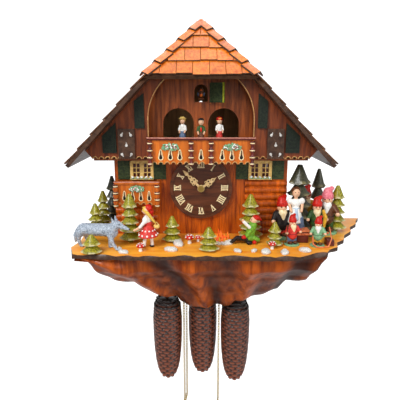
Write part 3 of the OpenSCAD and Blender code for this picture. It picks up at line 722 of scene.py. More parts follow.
# %% Lay both main slopes
for s in (-1, 1):
    down = Vector((s * math.cos(SLOPE), 0, -math.sin(SLOPE)))
    out = Vector((s * math.sin(SLOPE), 0, math.cos(SLOPE)))
    top = v(0, 0, APEX) - out * LAYER_T * mm
    slope_len = EAVE_X / math.cos(SLOPE)
    tiles = []
    for row in range(10):
        butt = slope_len - row * COURSE
        x_mid = (butt - COURSE * 0.5) * math.cos(SLOPE)
        front = HIP_BACK + (ROOF_DEPTH - HIP_BACK) * min(1,
                                                         max(0,
                                                             x_mid / HIP_X)) + (4 if x_mid < HIP_X else 0)
        at_y, edges = 0.0, [0.0]
        while front - at_y > 34:
            at_y += chance.uniform(24, 33)
            edges.append(at_y)
        edges[-1:] = [edges[-1]] if front - edges[-1] > 10 else []
        edges.append(front - 0.3)
        for a, b in zip(edges, edges[1:]):
            drop = chance.uniform(-3.2, 0)
            at = top + down * (butt - SHINGLE_L + drop) * mm + Vector((0, -(a + b) / 2 * mm, 0))
            tiles.append(lay(shingle, frame_of(at, down, out), (b - a - 0.6) / 24))
    cover = joined(tiles)
    edge = hip_edge_dir[0 if s < 0 else 1]
    across = edge.cross(out)
    across = across if across.y < 0 else -across
    cut(cover, hip_top + across * 0.5 * mm, across, use_fill=True)
    pick(cover, lambda co: (co - hip_top).dot(across) > 0.6 * mm
         and -co.y > HIP_BACK * mm and abs(co.x) < HIP_X * mm)
    bpy.ops.mesh.delete(type="VERT")
    leave_edit()
    cover.data.materials[0] = shingle_side
    place(smooth(cover, 30), "slope_shingle_courses_" + ("left" if s < 0 else "right"), None, "case",
          ["main_shingles"])
    print("slope courses:", len(tiles), "shingles")

# %% Cap the hips and the ridge
main_out = [Vector((s * math.sin(SLOPE), 0, math.cos(SLOPE))) for s in (-1, 1)]
cap = cap_tile(12.5, 36, 7.0)
caps = []
for s, edge, side_out in zip((-1, 1), hip_edge_dir, main_out):
    middle = (hip_out + side_out).normalized()
    for k in range(5):
        at = hip_top + edge * (3 + k * 37) * mm - middle * 2.6 * mm
        caps.append(lay(cap, frame_of(at, edge, middle), chance.uniform(0.94, 1.04)))
ridge_cap = cap_tile(10, 27, 10.0)
for k in range(3):
    at = v(0, 27 + k * 25, APEX - 4.6)
    caps.append(lay(ridge_cap, frame_of(at, Vector((0, 1, 0)), Vector((0, 0, 1)))))
place(smooth(joined(caps), 30), "hip_and_ridge_caps", None, "case", ["ridge_tiles"])
for o in (shingle, cap, ridge_cap):
    bpy.data.objects.remove(o)
print("caps:", len(caps))

# %% [markdown]
# ## The base board
# The base is a thick board with its edge chipped by a gouge. The board keeps
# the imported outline, so a copy of that node is cleaned and its edge eased, and
# a carved band is added below.

# %% Base board
def eased_copy(name, node_name, look, width=0.8, body="case", segments=2):
    """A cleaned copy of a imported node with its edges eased."""
    o = copy_of(nodes[node_name])
    o.hide_render = False
    pick_all(o)
    bpy.ops.mesh.remove_doubles(threshold=0.00001)
    bpy.ops.mesh.dissolve_limited(angle_limit=math.radians(2))
    leave_edit()
    bevelled(o, width * mm, segments)
    smooth(o, 35)
    return place(o, name, look, body, [node_name])


BASE_TOP = -262
base_board = eased_copy("base_board", "platform", base_wood)
pick(base_board, lambda co: True)
for k in range(-22, 34):
    bpy.ops.mesh.select_all(action="SELECT")
    bpy.ops.mesh.bisect(plane_co=v(k * 10, 0, BASE_TOP), plane_no=(1, 0, 0))
leave_edit()
for vert in base_board.data.vertices:
    if vert.co.y < -214 * mm:
        gouge = math.sin(vert.co.x / mm * 0.13 + 1.2 * math.sin(vert.co.x / mm * 0.05))
        vert.co.y += ((4.0 + 4.0 * gouge) if vert.co.z > -266 * mm else (2.0 - 2.0 * gouge)) * mm
base_board.data.materials.append(dark_stain)
for f in base_board.data.polygons:
    f.material_index = 0 if f.normal.z > 0.75 else 1
print("base board:", len(base_board.data.polygons), "faces")

# %% [markdown]
# ## The carved apron
# Under the base hangs a carved apron of lime wood, cut in long hollows that run
# down to a point, stained dark and heavily lacquered. It is made as a grid: the
# top edge follows the base, the foot follows the outline, and the hollows are
# waves in its depth that turn with the leaf shapes. Painted shade darkens the hollows and the apron's two
# ends.

# %% Apron
OUTLINE = [(-228, -270), (-205, -281), (-191, -315), (-169, -346), (-131, -347), (-116, -368),
           (-98, -380), (-50, -390), (-42, -404), (-24, -416), (0, -414), (34, -415), (60, -411),
           (70, -397), (111, -391), (128, -386), (157, -372), (170, -347), (206, -341), (214, -310),
           (226, -278), (234, -270)]
DEPTHS = [(-270, 250), (-300, 238), (-326, 205), (-356, 184), (-380, 168), (-430, 156)]
BOARD_FRONT = [(-236, 226), (-230, 247), (-190, 249), (-150, 254), (-92, 258), (-40, 254), (0, 258),
               (60, 256), (120, 260), (173, 257), (204, 243), (228, 236), (236, 219)]
APRON_TOP = -270
COLUMNS, ROWS = 150, 44
apron = fresh("grid", x_subdivisions=COLUMNS, y_subdivisions=ROWS, size=2)
painted_hollow_shade = []
for vert in apron.data.vertices:
    u, t = vert.co.x, (1 - vert.co.y) / 2
    x = 3 + 230.5 * u
    foot = between(OUTLINE, x, APRON_TOP)
    z = APRON_TOP + (foot - APRON_TOP) * t
    # leaf hollows fan out from the foot's point, and a swell runs along the top
    fan = (x - 3) / (150 + 1.1 * (z + 430))
    hollow = math.sin(fan * 14.0 + 0.9 * math.sin(x * 0.021) + z * 0.012)
    hollow += 0.5 * math.sin(fan * 31 + z * 0.05 + 1.3)
    swell = 5.0 * math.sin(t * 3.1416 * 1.15) + 1.0 * math.sin(z * 0.16 + 2.2 * math.sin(x * 0.03))
    edge_round = 7.0 * max(0.0, (t - 0.86) / 0.14) ** 2
    side_in = 26 * max(0.0, abs(u) - 0.62) ** 1.5
    scallop = 2.5 * math.sin(x * 0.21) * max(0.0, 1 - t * 9)
    d = between(DEPTHS, z, 250.0) - 10 + 7.4 * hollow * min(1, t * 5) + swell * min(1, t * 4)
    d = d - edge_round - side_in + scallop
    d = min(d, 250, between(BOARD_FRONT, x, 219.0) - 3)
    vert.co = v(x, d, z)
    # painted shade: the tint rises in the hollows and towards the two ends, where the finish mixes in its
    # near-black brown
    painted_hollow_shade.append(min(0.92, max(0.0, 0.34 - 0.5 * hollow + 0.5 * max(0.0, abs(u) - 0.7))))
layer = apron.data.attributes.new("tint", "FLOAT", "POINT")
for i, shade_amount in enumerate(painted_hollow_shade):
    layer.data[i].value = shade_amount
apply_modifier(apron, "SOLIDIFY", thickness=0.007, offset=-1 if apron.data.polygons[0].normal.y < 0 else 1)
apron = outward(apron)
place(smooth(apron, 50), "carved_apron", skirt_wood, "case", ["carved_skirt"])
print("apron:", len(apron.data.polygons), "faces")

# side boards of the apron
for s in (-1, 1):
    board = box((s * 150, -190, -322), (s * 166, 0, -270))
    shift(board, lambda co: co.z < -300 * mm and co.y < -100 * mm, (0, 30 * mm, 18 * mm))
    bevelled(board, 2 * mm, 3)
    place(smooth(board), "apron_bracket_" + ("left" if s < 0 else "right"), skirt_wood, "case")

# %% [markdown]
# ## Pine cone weights
# Each weight is an iron casting in the shape of a pine cone. Its core is turned
# and rows of scales are laid over it, every other row shifted half a scale. The
# tint marks each scale's lower lip with a red-brown painted highlight, where the raised lip catches the
# light.

# %% Cones
CONE = [(9, -4), (20, -8), (27, -22), (29, -50), (28.6, -90), (27.2, -120), (24.2, -150), (20.0, -170),
        (14, -186), (6, -197)]
CONE_RADII = [(height, radius) for radius, height in CONE]
SCALE_WIDE, SCALE_ROW = 15.0, 7.0
scale = fresh("uv_sphere", (9.4 * mm, 2.5 * mm, 5.4 * mm), segments=10, ring_count=5, radius=1)
squeeze(scale, lambda co: co.z > 2 * mm, (0.7, 1, 1))
# painted highlight: the tint rises on the front of each scale's lower lip
tint(scale, lambda co: max(0.0, min(0.8, -co.z / (4 * mm))) if co.y < -0.8 * mm else 0.0)


def cone_radius(h):
    return between(CONE_RADII, h, 6)


for side, (wx, fx, y, tip) in CHAINS.items():
    parts = [tint(turned(CONE, (wx, y, tip + CONE_L)), 0.0)]
    h, row = -8.0, 0
    while h > -194:
        r = cone_radius(h)
        slope_here = (cone_radius(h - 3) - cone_radius(h + 3)) / 6
        around = max(7, round(2 * math.pi * r / SCALE_WIDE))
        for k in range(around):
            a = 2 * math.pi * (k + 0.5 * (row % 2)) / around + chance.uniform(-0.03, 0.03)
            spot = Matrix.Translation(v(wx, y, tip + CONE_L + h)) @ Matrix.Rotation(a, 4, "Z")
            lean = Matrix.Rotation(math.radians(-14) + math.atan(slope_here), 4, "X")
            c = copy_of(scale)
            c.data.transform(spot @ Matrix.Translation((0, -(r + 0.2) * mm, 0)) @ lean
                             @ Matrix.Scale(max(0.55, 2 * math.pi * r / around / SCALE_WIDE), 4, (1, 0, 0)))
            parts.append(c)
        h -= SCALE_ROW
        row += 1
    hook = turned([(5, -1), (5, 1), (1.6, 1.4), (1.5, 5.5)], (wx, y, tip + CONE_L))
    ring = torus(20, 8, 3, 0.9, location=v(wx, y, tip + CONE_L + 8.5), rotation=UPRIGHT)
    body = "weight_" + side
    place(smooth(joined(parts), 50), "pine_cone_casting_" + side, cone_iron_and_lip_highlight, body,
          ["pine_cone_" + side])
    place(smooth(joined([hook, ring]), 50), "cone_hook_" + side, brass, body)
    print(side, "cone:", row, "rows")
bpy.data.objects.remove(scale)

# %% [markdown]
# ## Carved firs
# The trees are turned and then carved: each tier is a shallow bowl with its rim
# nicked into twigs that curl up, and the paint is rubbed off their tips.

# %% Firs
tier = fresh("cone", vertices=18, radius1=1, radius2=0.2, depth=1, location=(0, 0, 0.5),
             end_fill_type="NGON")
cut(tier, (0, 0, 0.28), (0, 0, 1))
squeeze(tier, lambda co: 0.2 < co.z < 0.4, (0.96, 0.96, 1))
pick(tier, lambda co: co.z < 0.1 and round(math.atan2(co.y, co.x) / math.radians(20)) % 2)
bpy.ops.transform.resize(value=(0.84, 0.84, 1))
bpy.ops.transform.translate(value=(0, 0, 0.04))
leave_edit()
shift(tier, lambda co: co.z < 0.1 and math.hypot(co.x, co.y) > 0.9, (0, 0, 0.13))
tint(tier, lambda co: 0.85 if math.hypot(co.x, co.y) > 0.9 else (0.12 if co.z < 0.2 else 0.0))
FIRS = [(-193, 50, 114, 18, 5, 1), (-205, 90, 88, 17, 5, 0), (-214, 124, 66, 17, 4, 0),
        (-136, 172, 100, 20, 5, 0), (-196, 236, 34, 18, 2, 0), (-56, 168, 50, 18, 3, 0),
        (14, 222, 44, 18, 3, 0), (97, 150, 94, 23, 5, 0), (138, 196, 46, 15, 3, 0),
        (199, 110, 149, 30, 5, 1), (256, 46, 126, 21, 4, 1), (282, 100, 102, 20, 5, 0)]
for number, (x, y, h, r, tiers, dark) in enumerate(FIRS, 1):
    trunk = [(r * 0.26, 0), (r * 0.2, h * 0.2), (r * 0.12, h * 0.75)]
    parts = [tint(turned(trunk, (x, y, BASE_TOP), 10), 0.0)]
    for k in range(tiers):
        t = k / tiers
        low = h * (0.07 + 0.76 * t)
        c = copy_of(tier)
        wide = r * (1.1 - 0.44 * t) * chance.uniform(0.95, 1.05)
        tall = h * (1.0 / tiers) * (0.96 if k < tiers - 1 else 1.35)
        tall = min(tall, h - low)
        turn = Matrix.Rotation(chance.uniform(0, 1), 4, "Z")
        c.data.transform(Matrix.Translation(v(x, y, BASE_TOP + low)) @ turn
                         @ Matrix.Diagonal((wide * mm, wide * mm, tall * mm, 1)))
        parts.append(c)
    place(smooth(joined(parts), 30), "fir_" + str(number), fir_dark if dark else fir_olive, "case",
          ["fir_trees"] if number == 1 else ())
bpy.data.objects.remove(tier)
print("firs:", len(FIRS))

# %% [markdown]
# ## Little figures
# The figures are cast and painted by hand. Each is built the way a modeller
# works in clay: balls and tapered rolls are pressed together, one colour at a
# time, and a voxel remesh melts them into one skin. The faces are plain ones.

# %% Clay tools
def ball(x, front, up, rx, rf=None, ru=None):
    """A ball or egg of clay, its centre and radii in mm, the front towards the viewer."""
    return fresh("uv_sphere", (rx * mm, (rf or rx) * mm, (ru or rx) * mm),
                 segments=16, ring_count=10, radius=1, location=v(x, front, up))


def roll(a, b, ra, rb):
    """A tapered roll from a to b, each (x, front, up) in mm."""
    pa, pb = v(*a), v(*b)
    along = pb - pa
    middle = fresh("cone", vertices=16, radius1=ra * mm, radius2=max(rb, 0.3) * mm, depth=along.length,
                   location=(pa + pb) / 2, rotation=along.to_track_quat("Z", "Y").to_euler())
    return joined([middle, ball(*a, ra), ball(*b, max(rb, 0.3))])


def bell(x, front, low, high, r_low, r_high):
    """A skirt: a cone with a flat hem."""
    return turned([(r_low, low), (r_low * 0.97, low + 1),
                   (r_low * 0.6 + r_high * 0.4, low + (high - low) * 0.5),
                   (r_high, high)], (x, front, 0), 20)


def clay(finish_used, lumps, voxel=0.8, passes=4):
    """Melts lumps into one skin of one colour."""
    o = joined(lumps)
    apply_modifier(o, "REMESH", mode="VOXEL", voxel_size=voxel * mm)
    apply_modifier(o, "SMOOTH", factor=0.5, iterations=passes)
    tint(o, 0.0)
    o.data.materials.clear()
    o.data.materials.append(finish_used)
    return smooth(o, 80)


def stand(parts, name, x, depth, up=BASE_TOP, turn=0, size=1.0, body="case",
          stands_for=()):
    """Joins a figure's colours and stands it in its place."""
    o = joined(parts)
    o.data.transform(Matrix.Translation(v(x, depth, up)) @ Matrix.Rotation(math.radians(turn), 4, "Z")
                     @ Matrix.Scale(size, 4))
    return place(o, name, None, body, stands_for)


# %% The girl in the headscarf
parts = [
    clay(white, [roll((-8, 2, 3), (-5, 2, 26), 3.1, 3.4), roll((7, -2, 3), (5, -2, 26), 3.1, 3.4)]),
    clay(black, [ball(-10, 3, 2.4, 5, 3.4, 2.4), ball(6, -1, 2.4, 5, 3.4, 2.4)]),
    clay(skirt_red, [bell(0, 0, 22, 42, 19, 7.5), ball(1, 0, 46, 7, 6.4, 6)]),
    clay(white, [ball(-1, 0, 54, 8, 7, 8.5), ball(-4, 6, 54, 5.5, 4.6, 7), ball(5, -5, 55, 5, 4.4, 6),
                 roll((-6, 7, 50), (-14, 9, 41), 3.6, 2.8)]),
    clay(skin, [roll((-14, 9, 41), (-22, 9, 36), 2.4, 2), ball(-24, 9, 35.5, 2.6),
                roll((-1, 0, 60), (-1, 0, 66), 3, 3),
                ball(-3, 2, 71, 6.6, 6.6, 7.2), ball(-9.4, 3, 70, 1.3)]),
    clay(red, [ball(1.5, 0, 75, 8, 7.6, 7.4), ball(6.5, -1, 68, 4.6, 5, 5.6),
               roll((3, 0, 66), (9, -2, 60), 4, 2)]),
    clay(blonde, [roll((-7, 6, 74), (2, 8, 66), 2.4, 3.2), roll((2, 8, 66), (11, 6, 53), 3.2, 2.6),
                  roll((11, 6, 53), (15, 5, 47), 2.6, 1.0), roll((-8, 0, 76), (-4, 5, 78), 2, 2)]),
    clay(straw, [ball(16, 0, 40, 6, 4.6, 4), roll((11, 0, 42), (16, 0, 49), 1, 1),
                 roll((16, 0, 49), (21, 0, 42), 1, 1)]),
    clay(black, [ball(-9, -0.8, 72.5, 0.9), ball(-8.6, 6, 72.5, 0.9)], 0.4, 1),
]
dots = []
for k in range(11):
    for ring, (up, r) in enumerate(((26, 17.0), (34, 12.2))):
        a = math.radians(k * 360 / 11 + ring * 16)
        dots.append(ball(r * math.sin(a), r * math.cos(a), up, 2.0 - 0.3 * ring))
dot_set = tint(joined(dots), 0.0)
dot_set.data.materials.append(white)
stand([*parts, smooth(dot_set, 80)], "girl_in_headscarf", -98, 205, stands_for=["girl"])

# %% The wolf
grey = clay(wolf_grey, [
    roll((-32, 0, 33), (24, 0, 36), 11.5, 12), ball(26, 0, 34, 12, 10.5, 13),
    ball(-34, 0, 31, 12, 10, 12.5),
    roll((28, 0, 40), (36, 0, 47), 10, 8.4), ball(38, 0, 47.5, 9, 7.6, 7.6),
    roll((42, 0, 46), (60, 0, 40.5), 5.4, 2.5),
    roll((33, 5, 52), (30, 7, 62.5), 3.4, 0.6), roll((33, -5, 52), (30, -7, 62.5), 3.4, 0.6),
    roll((-37, 6, 28), (-41, 6, 14), 6.5, 3.6), roll((-41, 6, 14), (-37, 6, 2.6), 3.4, 2.8),
    ball(-34.5, 6, 2.4, 4.6, 3.2, 2.4),
    roll((-32, -6, 28), (-31, -6, 14), 6, 3.6), roll((-31, -6, 14), (-28, -6, 2.6), 3.4, 2.8),
    ball(-25.5, -6, 2.4, 4.6, 3.2, 2.4), roll((25, 6, 28), (30, 6, 14), 5.5, 3.6),
    roll((30, 6, 14), (37, 6, 2.6), 3.3, 2.7),
    ball(39.5, 6, 2.4, 4.6, 3.2, 2.4), roll((19, -6, 28), (18, -6, 14), 5.5, 3.5),
    roll((18, -6, 14), (17, -6, 2.6), 3.3, 2.7),
    ball(19.5, -6, 2.4, 4.6, 3.2, 2.4), roll((-43, 0, 33), (-50, 0, 20), 4.6, 5),
    roll((-50, 0, 20), (-52, 0, 6), 5, 1.4)],
    0.9, 3)
fur = bpy.data.textures.new("fur", "CLOUDS")
fur.noise_scale = 0.005
apply_modifier(grey, "DISPLACE", texture=fur, texture_coords="LOCAL", strength=0.0022, mid_level=0.5)
nose = clay(black, [ball(61.3, 0, 41, 1.9, 1.7, 1.6), ball(45, 6.6, 50, 1.1), ball(45, -6.6, 50, 1.1)],
            0.4, 1)
stand([grey, nose], "wolf_on_base", -188, 207, turn=-17, stands_for=["wolf"])

# %% The man by the fire
parts = [
    clay(deep_green, [ball(8, 0, 10, 11, 9, 9)]),
    clay(bright_green, [roll((10, 0, 14), (16, 0, 36), 9.2, 8), roll((10, 2, 13), (27, 2, 8), 8, 4.2),
                        roll((13, 8, 30), (4, 10, 17), 3.6, 3)]),
    clay(white, [roll((9, 7, 34), (-2, 8, 45), 3.5, 3), ball(17, 0, 39, 6, 5.6, 2.6)]),
    clay(skin, [ball(-3.5, 8, 47.5, 3), ball(18, 0, 46, 6.6, 6.4, 7.4), ball(11.6, 2, 45.5, 1.4)]),
    clay(red, [ball(22, -1, 50.5, 7.4, 7, 5.6), roll((25, -1, 50), (31, -3, 46), 5, 2.6),
               ball(-1, 10.5, 15.5, 5, 3.8, 4),
               ball(19, 9, 5, 4, 4, 4)]),
    clay(black, [roll((4, 4, 10), (-14, 6, 13), 5.6, 4.2), roll((-14, 6, 13), (-24, 6, 4), 4, 3.4),
                 roll((4, -5, 9), (-16, -5, 7), 5.2, 4), ball(-27, 6, 3.6, 5.4, 3.6, 3.4),
                 ball(-21, -5, 3.6, 5.4, 3.6, 3.4),
                 ball(9, 10, 4, 6, 4, 4)]),
    clay(black, [ball(12.6, -2, 48, 0.9), ball(12.8, 4.6, 48, 0.9)], 0.4, 1),
]
stand(parts, "man_by_the_fire", 82, 182, stands_for=["seated_man"])


# %% Gnomes
def gnome(name, x, depth, h, cap, coat, trousers, beard, turn=0, extra=(), stands_for=()):
    foot = tint(turned([(14, 0), (14.4, 1.5), (12.5, 3)], (0, 0, 0)), 0.0)
    foot.data.materials.append(mint)
    parts = [
        foot,
        clay(brown, [ball(-5, 3, 5.5, 4.6, 6.4, 3.6), ball(5, 3, 5.5, 4.6, 6.4, 3.6)]),
        clay(trousers, [roll((-4.6, 0, 7), (-4.2, 0, 20), 4.6, 5.4),
                        roll((4.6, 0, 7), (4.2, 0, 20), 4.6, 5.4)]),
        clay(coat, [roll((0, 0, 20), (0, 0, 34), 10, 8.2), roll((-8, 0, 35), (-13, 5, 27), 3.9, 3.2),
                    roll((8, 0, 35), (13, 5, 28), 3.9, 3.2)]),
        clay(black, [ball(0, 0, 23, 10.8, 10.4, 1.5)]),
        clay(skin, [ball(-13.5, 7, 25.5, 2.9), ball(13.5, 7, 26.5, 2.9), ball(0, 1, 43, 6.8, 6.6, 6.6),
                    ball(0, 8, 42.6, 1.9)]),
        clay(beard, [ball(0, 4.6, 37, 6, 4.2, 6.4), roll((0, 5.5, 36), (0, 7.4, 26), 5, 1.6),
                     ball(0, 0.4, 46.8, 7.5, 7.2, 1.9)]),
        clay(cap, [roll((0, 0, 47.5), (0, -1, 53), 7.6, 6), roll((0, -1, 53), (4, -3, 58), 5.8, 2.6),
                   ball(5, -3.4, 57.6, 2.6)]),
        clay(black, [ball(-2.6, 7, 44.6, 0.9), ball(2.6, 7, 44.6, 0.9)], 0.4, 1),
    ]
    parts += [clay(look, lumps) for look, lumps in extra]
    return stand(parts, name, x, depth, turn=turn, size=h / 62, stands_for=stands_for)


gnome("gnome_in_red", 172, 190, 62, red, skirt_red, blue_grey, cream, 12,
      [(brown, [roll((-16, 9, 8), (-13, 8, 40), 1.2, 1.2), ball(-12.5, 8, 40, 4, 1.6, 1.8)])], ["gnomes"])
gnome("gnome_at_the_barrow", 219, 196, 60, red, mint, yellow, white, -14)
gnome("gnome_in_grey", 159, 147, 90, red, black, skirt_red, cream, 8)
gnome("gnome_with_horn", 233, 130, 84, red, deep_green, brown, cream, -6,
      [(yellow, [roll((8, 9, 40), (11, 10, 30), 2.2, 3), roll((11, 10, 30), (10, 9, 16), 3, 2)])])
gnome("gnome_on_the_right", 258, 112, 100, pink, brown, deep_green, white, -18)
gnome("gnome_at_the_back", 224, 70, 96, red, yellow, dark_red, cream, 0)

# %% The woman in white
light_blue = paint("pale blue", (196, 214, 228), (160, 184, 206))
parts = [
    clay(blue_grey, [bell(4, 0, 0, 36, 14, 9)]),
    clay(white, [bell(0, 0, 27, 52, 12.5, 6), ball(0, 0, 58, 7.6, 6.4, 7.6),
                 ball(-9.5, 0, 61, 4.8, 4.6, 5.4),
                 ball(9.5, 0, 61, 4.8, 4.6, 5.4)]),
    clay(yellow, [ball(0, 0, 28, 12.9, 12.7, 1.5)]),
    clay(light_blue, [ball(0, 0.6, 50, 6.9, 6.6, 2.2), roll((0, 5, 48), (0, 9, 34), 3, 4)]),
    clay(skin, [roll((-10.5, 0, 57), (-8, 7, 46), 2.5, 2.1), roll((10.5, 0, 57), (8, 7, 46), 2.5, 2.1),
                roll((0, 0, 62), (0, 0, 68), 2.8, 2.8), ball(0, 0.6, 74.5, 6.2, 6.2, 7.4),
                ball(0, 7, 74, 1.1)]),
    clay(brown, [ball(0, -1.8, 77, 7.2, 6.6, 7), ball(0, -6, 72, 5, 3.4, 6)]),
    clay(black, [ball(-2.4, 6.2, 75.8, 0.8), ball(2.4, 6.2, 75.8, 0.8)], 0.4, 1),
]
stand(parts, "woman_in_white", 185, 150, size=1.24, stands_for=["lady"])

# %% Dancers on their ring
RING_TOP = -74.5


def dancer(name, turn, facing, skirt, top, hair, hat, hat_shape, stands_for=()):
    head = [ball(0, 0.6, 40, 5.2, 5.2, 6), ball(0, 6, 39.6, 1),
            roll((-6.5, 2, 23), (-5, 4.6, 18), 1.7, 1.5),
            roll((6.5, 2, 23), (5, 4.6, 18), 1.7, 1.5), roll((0, 0, 31), (0, 0, 35), 2, 2)]
    parts = [
        clay(skirt, [bell(0, 0, 0, 22, 8, 4.4)], 0.6),
        clay(top, [roll((0, 0, 22), (0, 0, 30), 4.8, 5), roll((-5, 0, 30), (-7, 1.6, 23), 2.6, 2.2),
                   roll((5, 0, 30), (7, 1.6, 23), 2.6, 2.2)], 0.6),
        clay(skin, head, 0.6),
        clay(hair, [ball(0, -1.4, 42, 5.8, 5, 5.6), ball(0, 0.2, 44.6, 5.6, 5.6, 3.2)], 0.6),
        clay(hat, hat_shape, 0.6),
        clay(black, [ball(-1.9, 5.4, 41, 0.7), ball(1.9, 5.4, 41, 0.7)], 0.35, 1),
    ]
    o = joined(parts)
    spot = Matrix.Translation(v(0, 114, RING_TOP)) @ Matrix.Rotation(math.radians(turn), 4, "Z") \
        @ Matrix.Translation(v(0, 36, 0)) @ Matrix.Rotation(math.radians(facing), 4, "Z")
    o.data.transform(spot)
    return place(o, name, None, "dance_ring", stands_for)


dancer("dancer_in_green", 0, 0, brown, deep_green, black, red, [ball(0, 4.2, 26, 2.2, 1.6, 5)], ["dancers"])
dancer("dancer_in_red_scarf", 90, -75, skirt_red, white, blonde, red,
       [ball(0, -0.6, 44, 6.4, 6.4, 4.6), ball(0, -5, 38, 3, 2, 4)])
dancer("dancer_at_the_back", 180, 0, brown, deep_green, brown, black,
       [ball(0, 0, 45.4, 6.6, 6.6, 1.2), ball(0, 0, 46.6, 4, 4, 2.4)])
dancer("dancer_in_straw_hat", 270, 75, blue_grey, white, blonde, straw,
       [ball(0, 0, 45.2, 8.2, 8.2, 1.3), ball(0, 0, 46.4, 5, 5, 2.6)])

# %% The cuckoo
parts = [
    clay(brown, [ball(0, 108, 17, 6.4, 7, 7), ball(0, 114, 24, 4.6, 4.8, 4.8),
                 roll((0, 103, 16), (0, 92, 13), 4.4, 2.4)], 0.6),
    clay(flame, [ball(0, 113.4, 15, 2.6, 2.2, 3.4)], 0.6),
    clay(blue_grey, [ball(-5.6, 106, 17, 1.8, 7, 4.6), ball(5.6, 106, 17, 1.8, 7, 4.6)], 0.6),
    clay(flame, [roll((0, 118, 24.4), (0, 123.6, 23.6), 1.7, 0.4)], 0.4, 1),
    clay(black, [ball(-2.6, 117.4, 26, 0.9), ball(2.6, 117.4, 26, 0.9)], 0.35, 1),
]
place(joined(parts), "cuckoo_figure", None, "cuckoo", ["cuckoo_bird"])
slide = box((-1.5, -108, 7), (1.5, -60, 10))
perch = box((-5, -113, 7), (5, -100, 9.4))
place(smooth(bevelled(joined([slide, perch]), 0.5 * mm)), "cuckoo_slide_bar", case_stain, "cuckoo")

# %% Mushrooms, pebbles, fire and bench
stems, caps, spots = [], [], []
for x, depth, k in ((-110, 226, 1.25), (-22, 182, 1.45), (-6, 170, 1.0), (131, 214, 1.2)):
    stems.append(turned([(2.9 * k, 0), (2.2 * k, 4 * k), (2.0 * k, 8 * k)], (x, depth, BASE_TOP), 14))
    caps.append(turned([(5.6 * k, 6.4 * k), (6.2 * k, 7.2 * k), (5.4 * k, 9.4 * k), (3.4 * k, 11.2 * k),
                        (0.6 * k, 12 * k)],
                       (x, depth, BASE_TOP), 18))
    for a in range(0, 360, 60):
        s, c = math.sin(math.radians(a)), math.cos(math.radians(a))
        spots.append(ball(x + 5.3 * k * s, depth + 5.3 * k * c, BASE_TOP + 9 * k, 1.1 * k))
        spots.append(ball(x + 2.8 * k * c, depth + 2.8 * k * s, BASE_TOP + 11.2 * k, 0.9 * k))
pieces = []
for look, group_of in ((white, stems), (red, caps), (white, spots)):
    o = tint(joined(group_of), 0.0)
    o.data.materials.append(look)
    pieces.append(smooth(o, 60))
place(joined(pieces), "toadstools", None, "case", ["mushrooms"])

stone_list = [(-43, 192, 13), (-55, 224, 11), (-140, 236, 9), (66, 230, 8), (116, 236, 12),
              (150, 238, 10), (188, 228, 11), (23, 176, 6), (31, 187, 8), (43, 189, 7), (53, 184, 11),
              (-150, 218, 6), (96, 228, 7)]
stones = []
for x, depth, r in stone_list:
    turn = (0, chance.uniform(-0.1, 0.1), chance.uniform(0, 3))
    stones.append(fresh("ico_sphere", (r * 1.1 * mm, r * 0.7 * mm, r * 0.48 * mm), subdivisions=3, radius=1,
                        location=v(x, depth, BASE_TOP + r * 0.22), rotation=turn))
pebbles = joined(stones)
rub = bpy.data.textures.new("worn stone", "CLOUDS")
rub.noise_scale = 0.006
apply_modifier(pebbles, "DISPLACE", texture=rub, texture_coords="LOCAL", strength=0.004, mid_level=0.5)
tint(pebbles, 0.0)
place(smooth(pebbles, 60), "pebbles", pebble, "case", ["stones"])

flames = []
for x, depth, r, h in ((24, 178, 4.4, 17), (31, 181, 4.8, 20), (38, 179, 5, 24), (45, 181, 4.6, 18),
                       (51, 178, 3.8, 21),
                       (34, 175, 4.2, 26)):
    flames.append(roll((x, depth, -257), (x + 1.2, depth, BASE_TOP + h * 0.55), r + 0.9, r * 0.8))
    flames.append(roll((x + 1.2, depth, BASE_TOP + h * 0.55), (x - 0.6, depth, -260 + h), r * 0.8, 0.3))
cores = [roll((x, 185, -258), (x + 0.5, 185, BASE_TOP + h), 2.6, 0.3)
         for x, h in ((27, 13), (35, 15), (44, 12), (50, 13))]
place(joined([clay(flame, flames, 0.7, 2), clay(yellow, cores, 0.6, 2)]), "campfire_flames", None, "case")

bench = [box((184, -181, BASE_TOP), (206, -161, -240)), box((236, -200, BASE_TOP), (250, -180, -250))]
bench_top = [box((180, -183, -240), (208, -158, -237)), box((165, -184, -246), (212, -181, -242)),
             box((208, -176, -246), (246, -173, -242))]
place(smooth(bevelled(joined(bench), 1.2 * mm, 3)), "tool_chest", rail_red, "case",
      ["workbench"])
place(smooth(bevelled(joined(bench_top), 0.8 * mm, 3)), "bench_rails", orange_bench, "case")
place(clay(orange_bench, [roll((207, 206, -240), (208, 208, -255), 1.3, 1.3),
                          roll((208, 208, -255), (216, 212, -260), 1.3, 1.4),
                          roll((216, 212, -260), (236, 210, -260), 1.4, 1.4),
                          roll((236, 210, -260), (243, 204, -246), 1.4, 1.3),
                          roll((243, 204, -246), (240, 196, -226), 1.3, 1.2)]),
      "barrow_frame", None, "case")
print("figures and scenery done")

# %% [markdown]
# ## Trims and small joinery
# Thin cream mouldings and turned posts give the house its life. Rings are bent
# from tori; posts are turned; scallops repeat one small bead.

# %% Arch, scallops and keyholes
arch = torus(96, 10, 99.3, 0.9, location=v(0, 151, -30), rotation=UPRIGHT)
pick_all(arch)
bpy.ops.mesh.bisect(plane_co=v(0, 151, -30), plane_no=(0, 0, -1), clear_outer=True)
bpy.ops.mesh.extrude_region_move(TRANSFORM_OT_translate={"value": (0, 0, -32 * mm)})
bpy.ops.mesh.edge_face_add()
bpy.ops.mesh.select_all(action="SELECT")
bpy.ops.mesh.bisect(plane_co=v(0, 151, 50), plane_no=(0, 0, 1), clear_outer=True, use_fill=True)
leave_edit()
cream_parts = [outward(arch)]

bead = torus(16, 6, 4.6, 0.9, rotation=UPRIGHT)
cut(bead, (0, 0, 0), (0, 0, -1), clear_outer=True, use_fill=True)


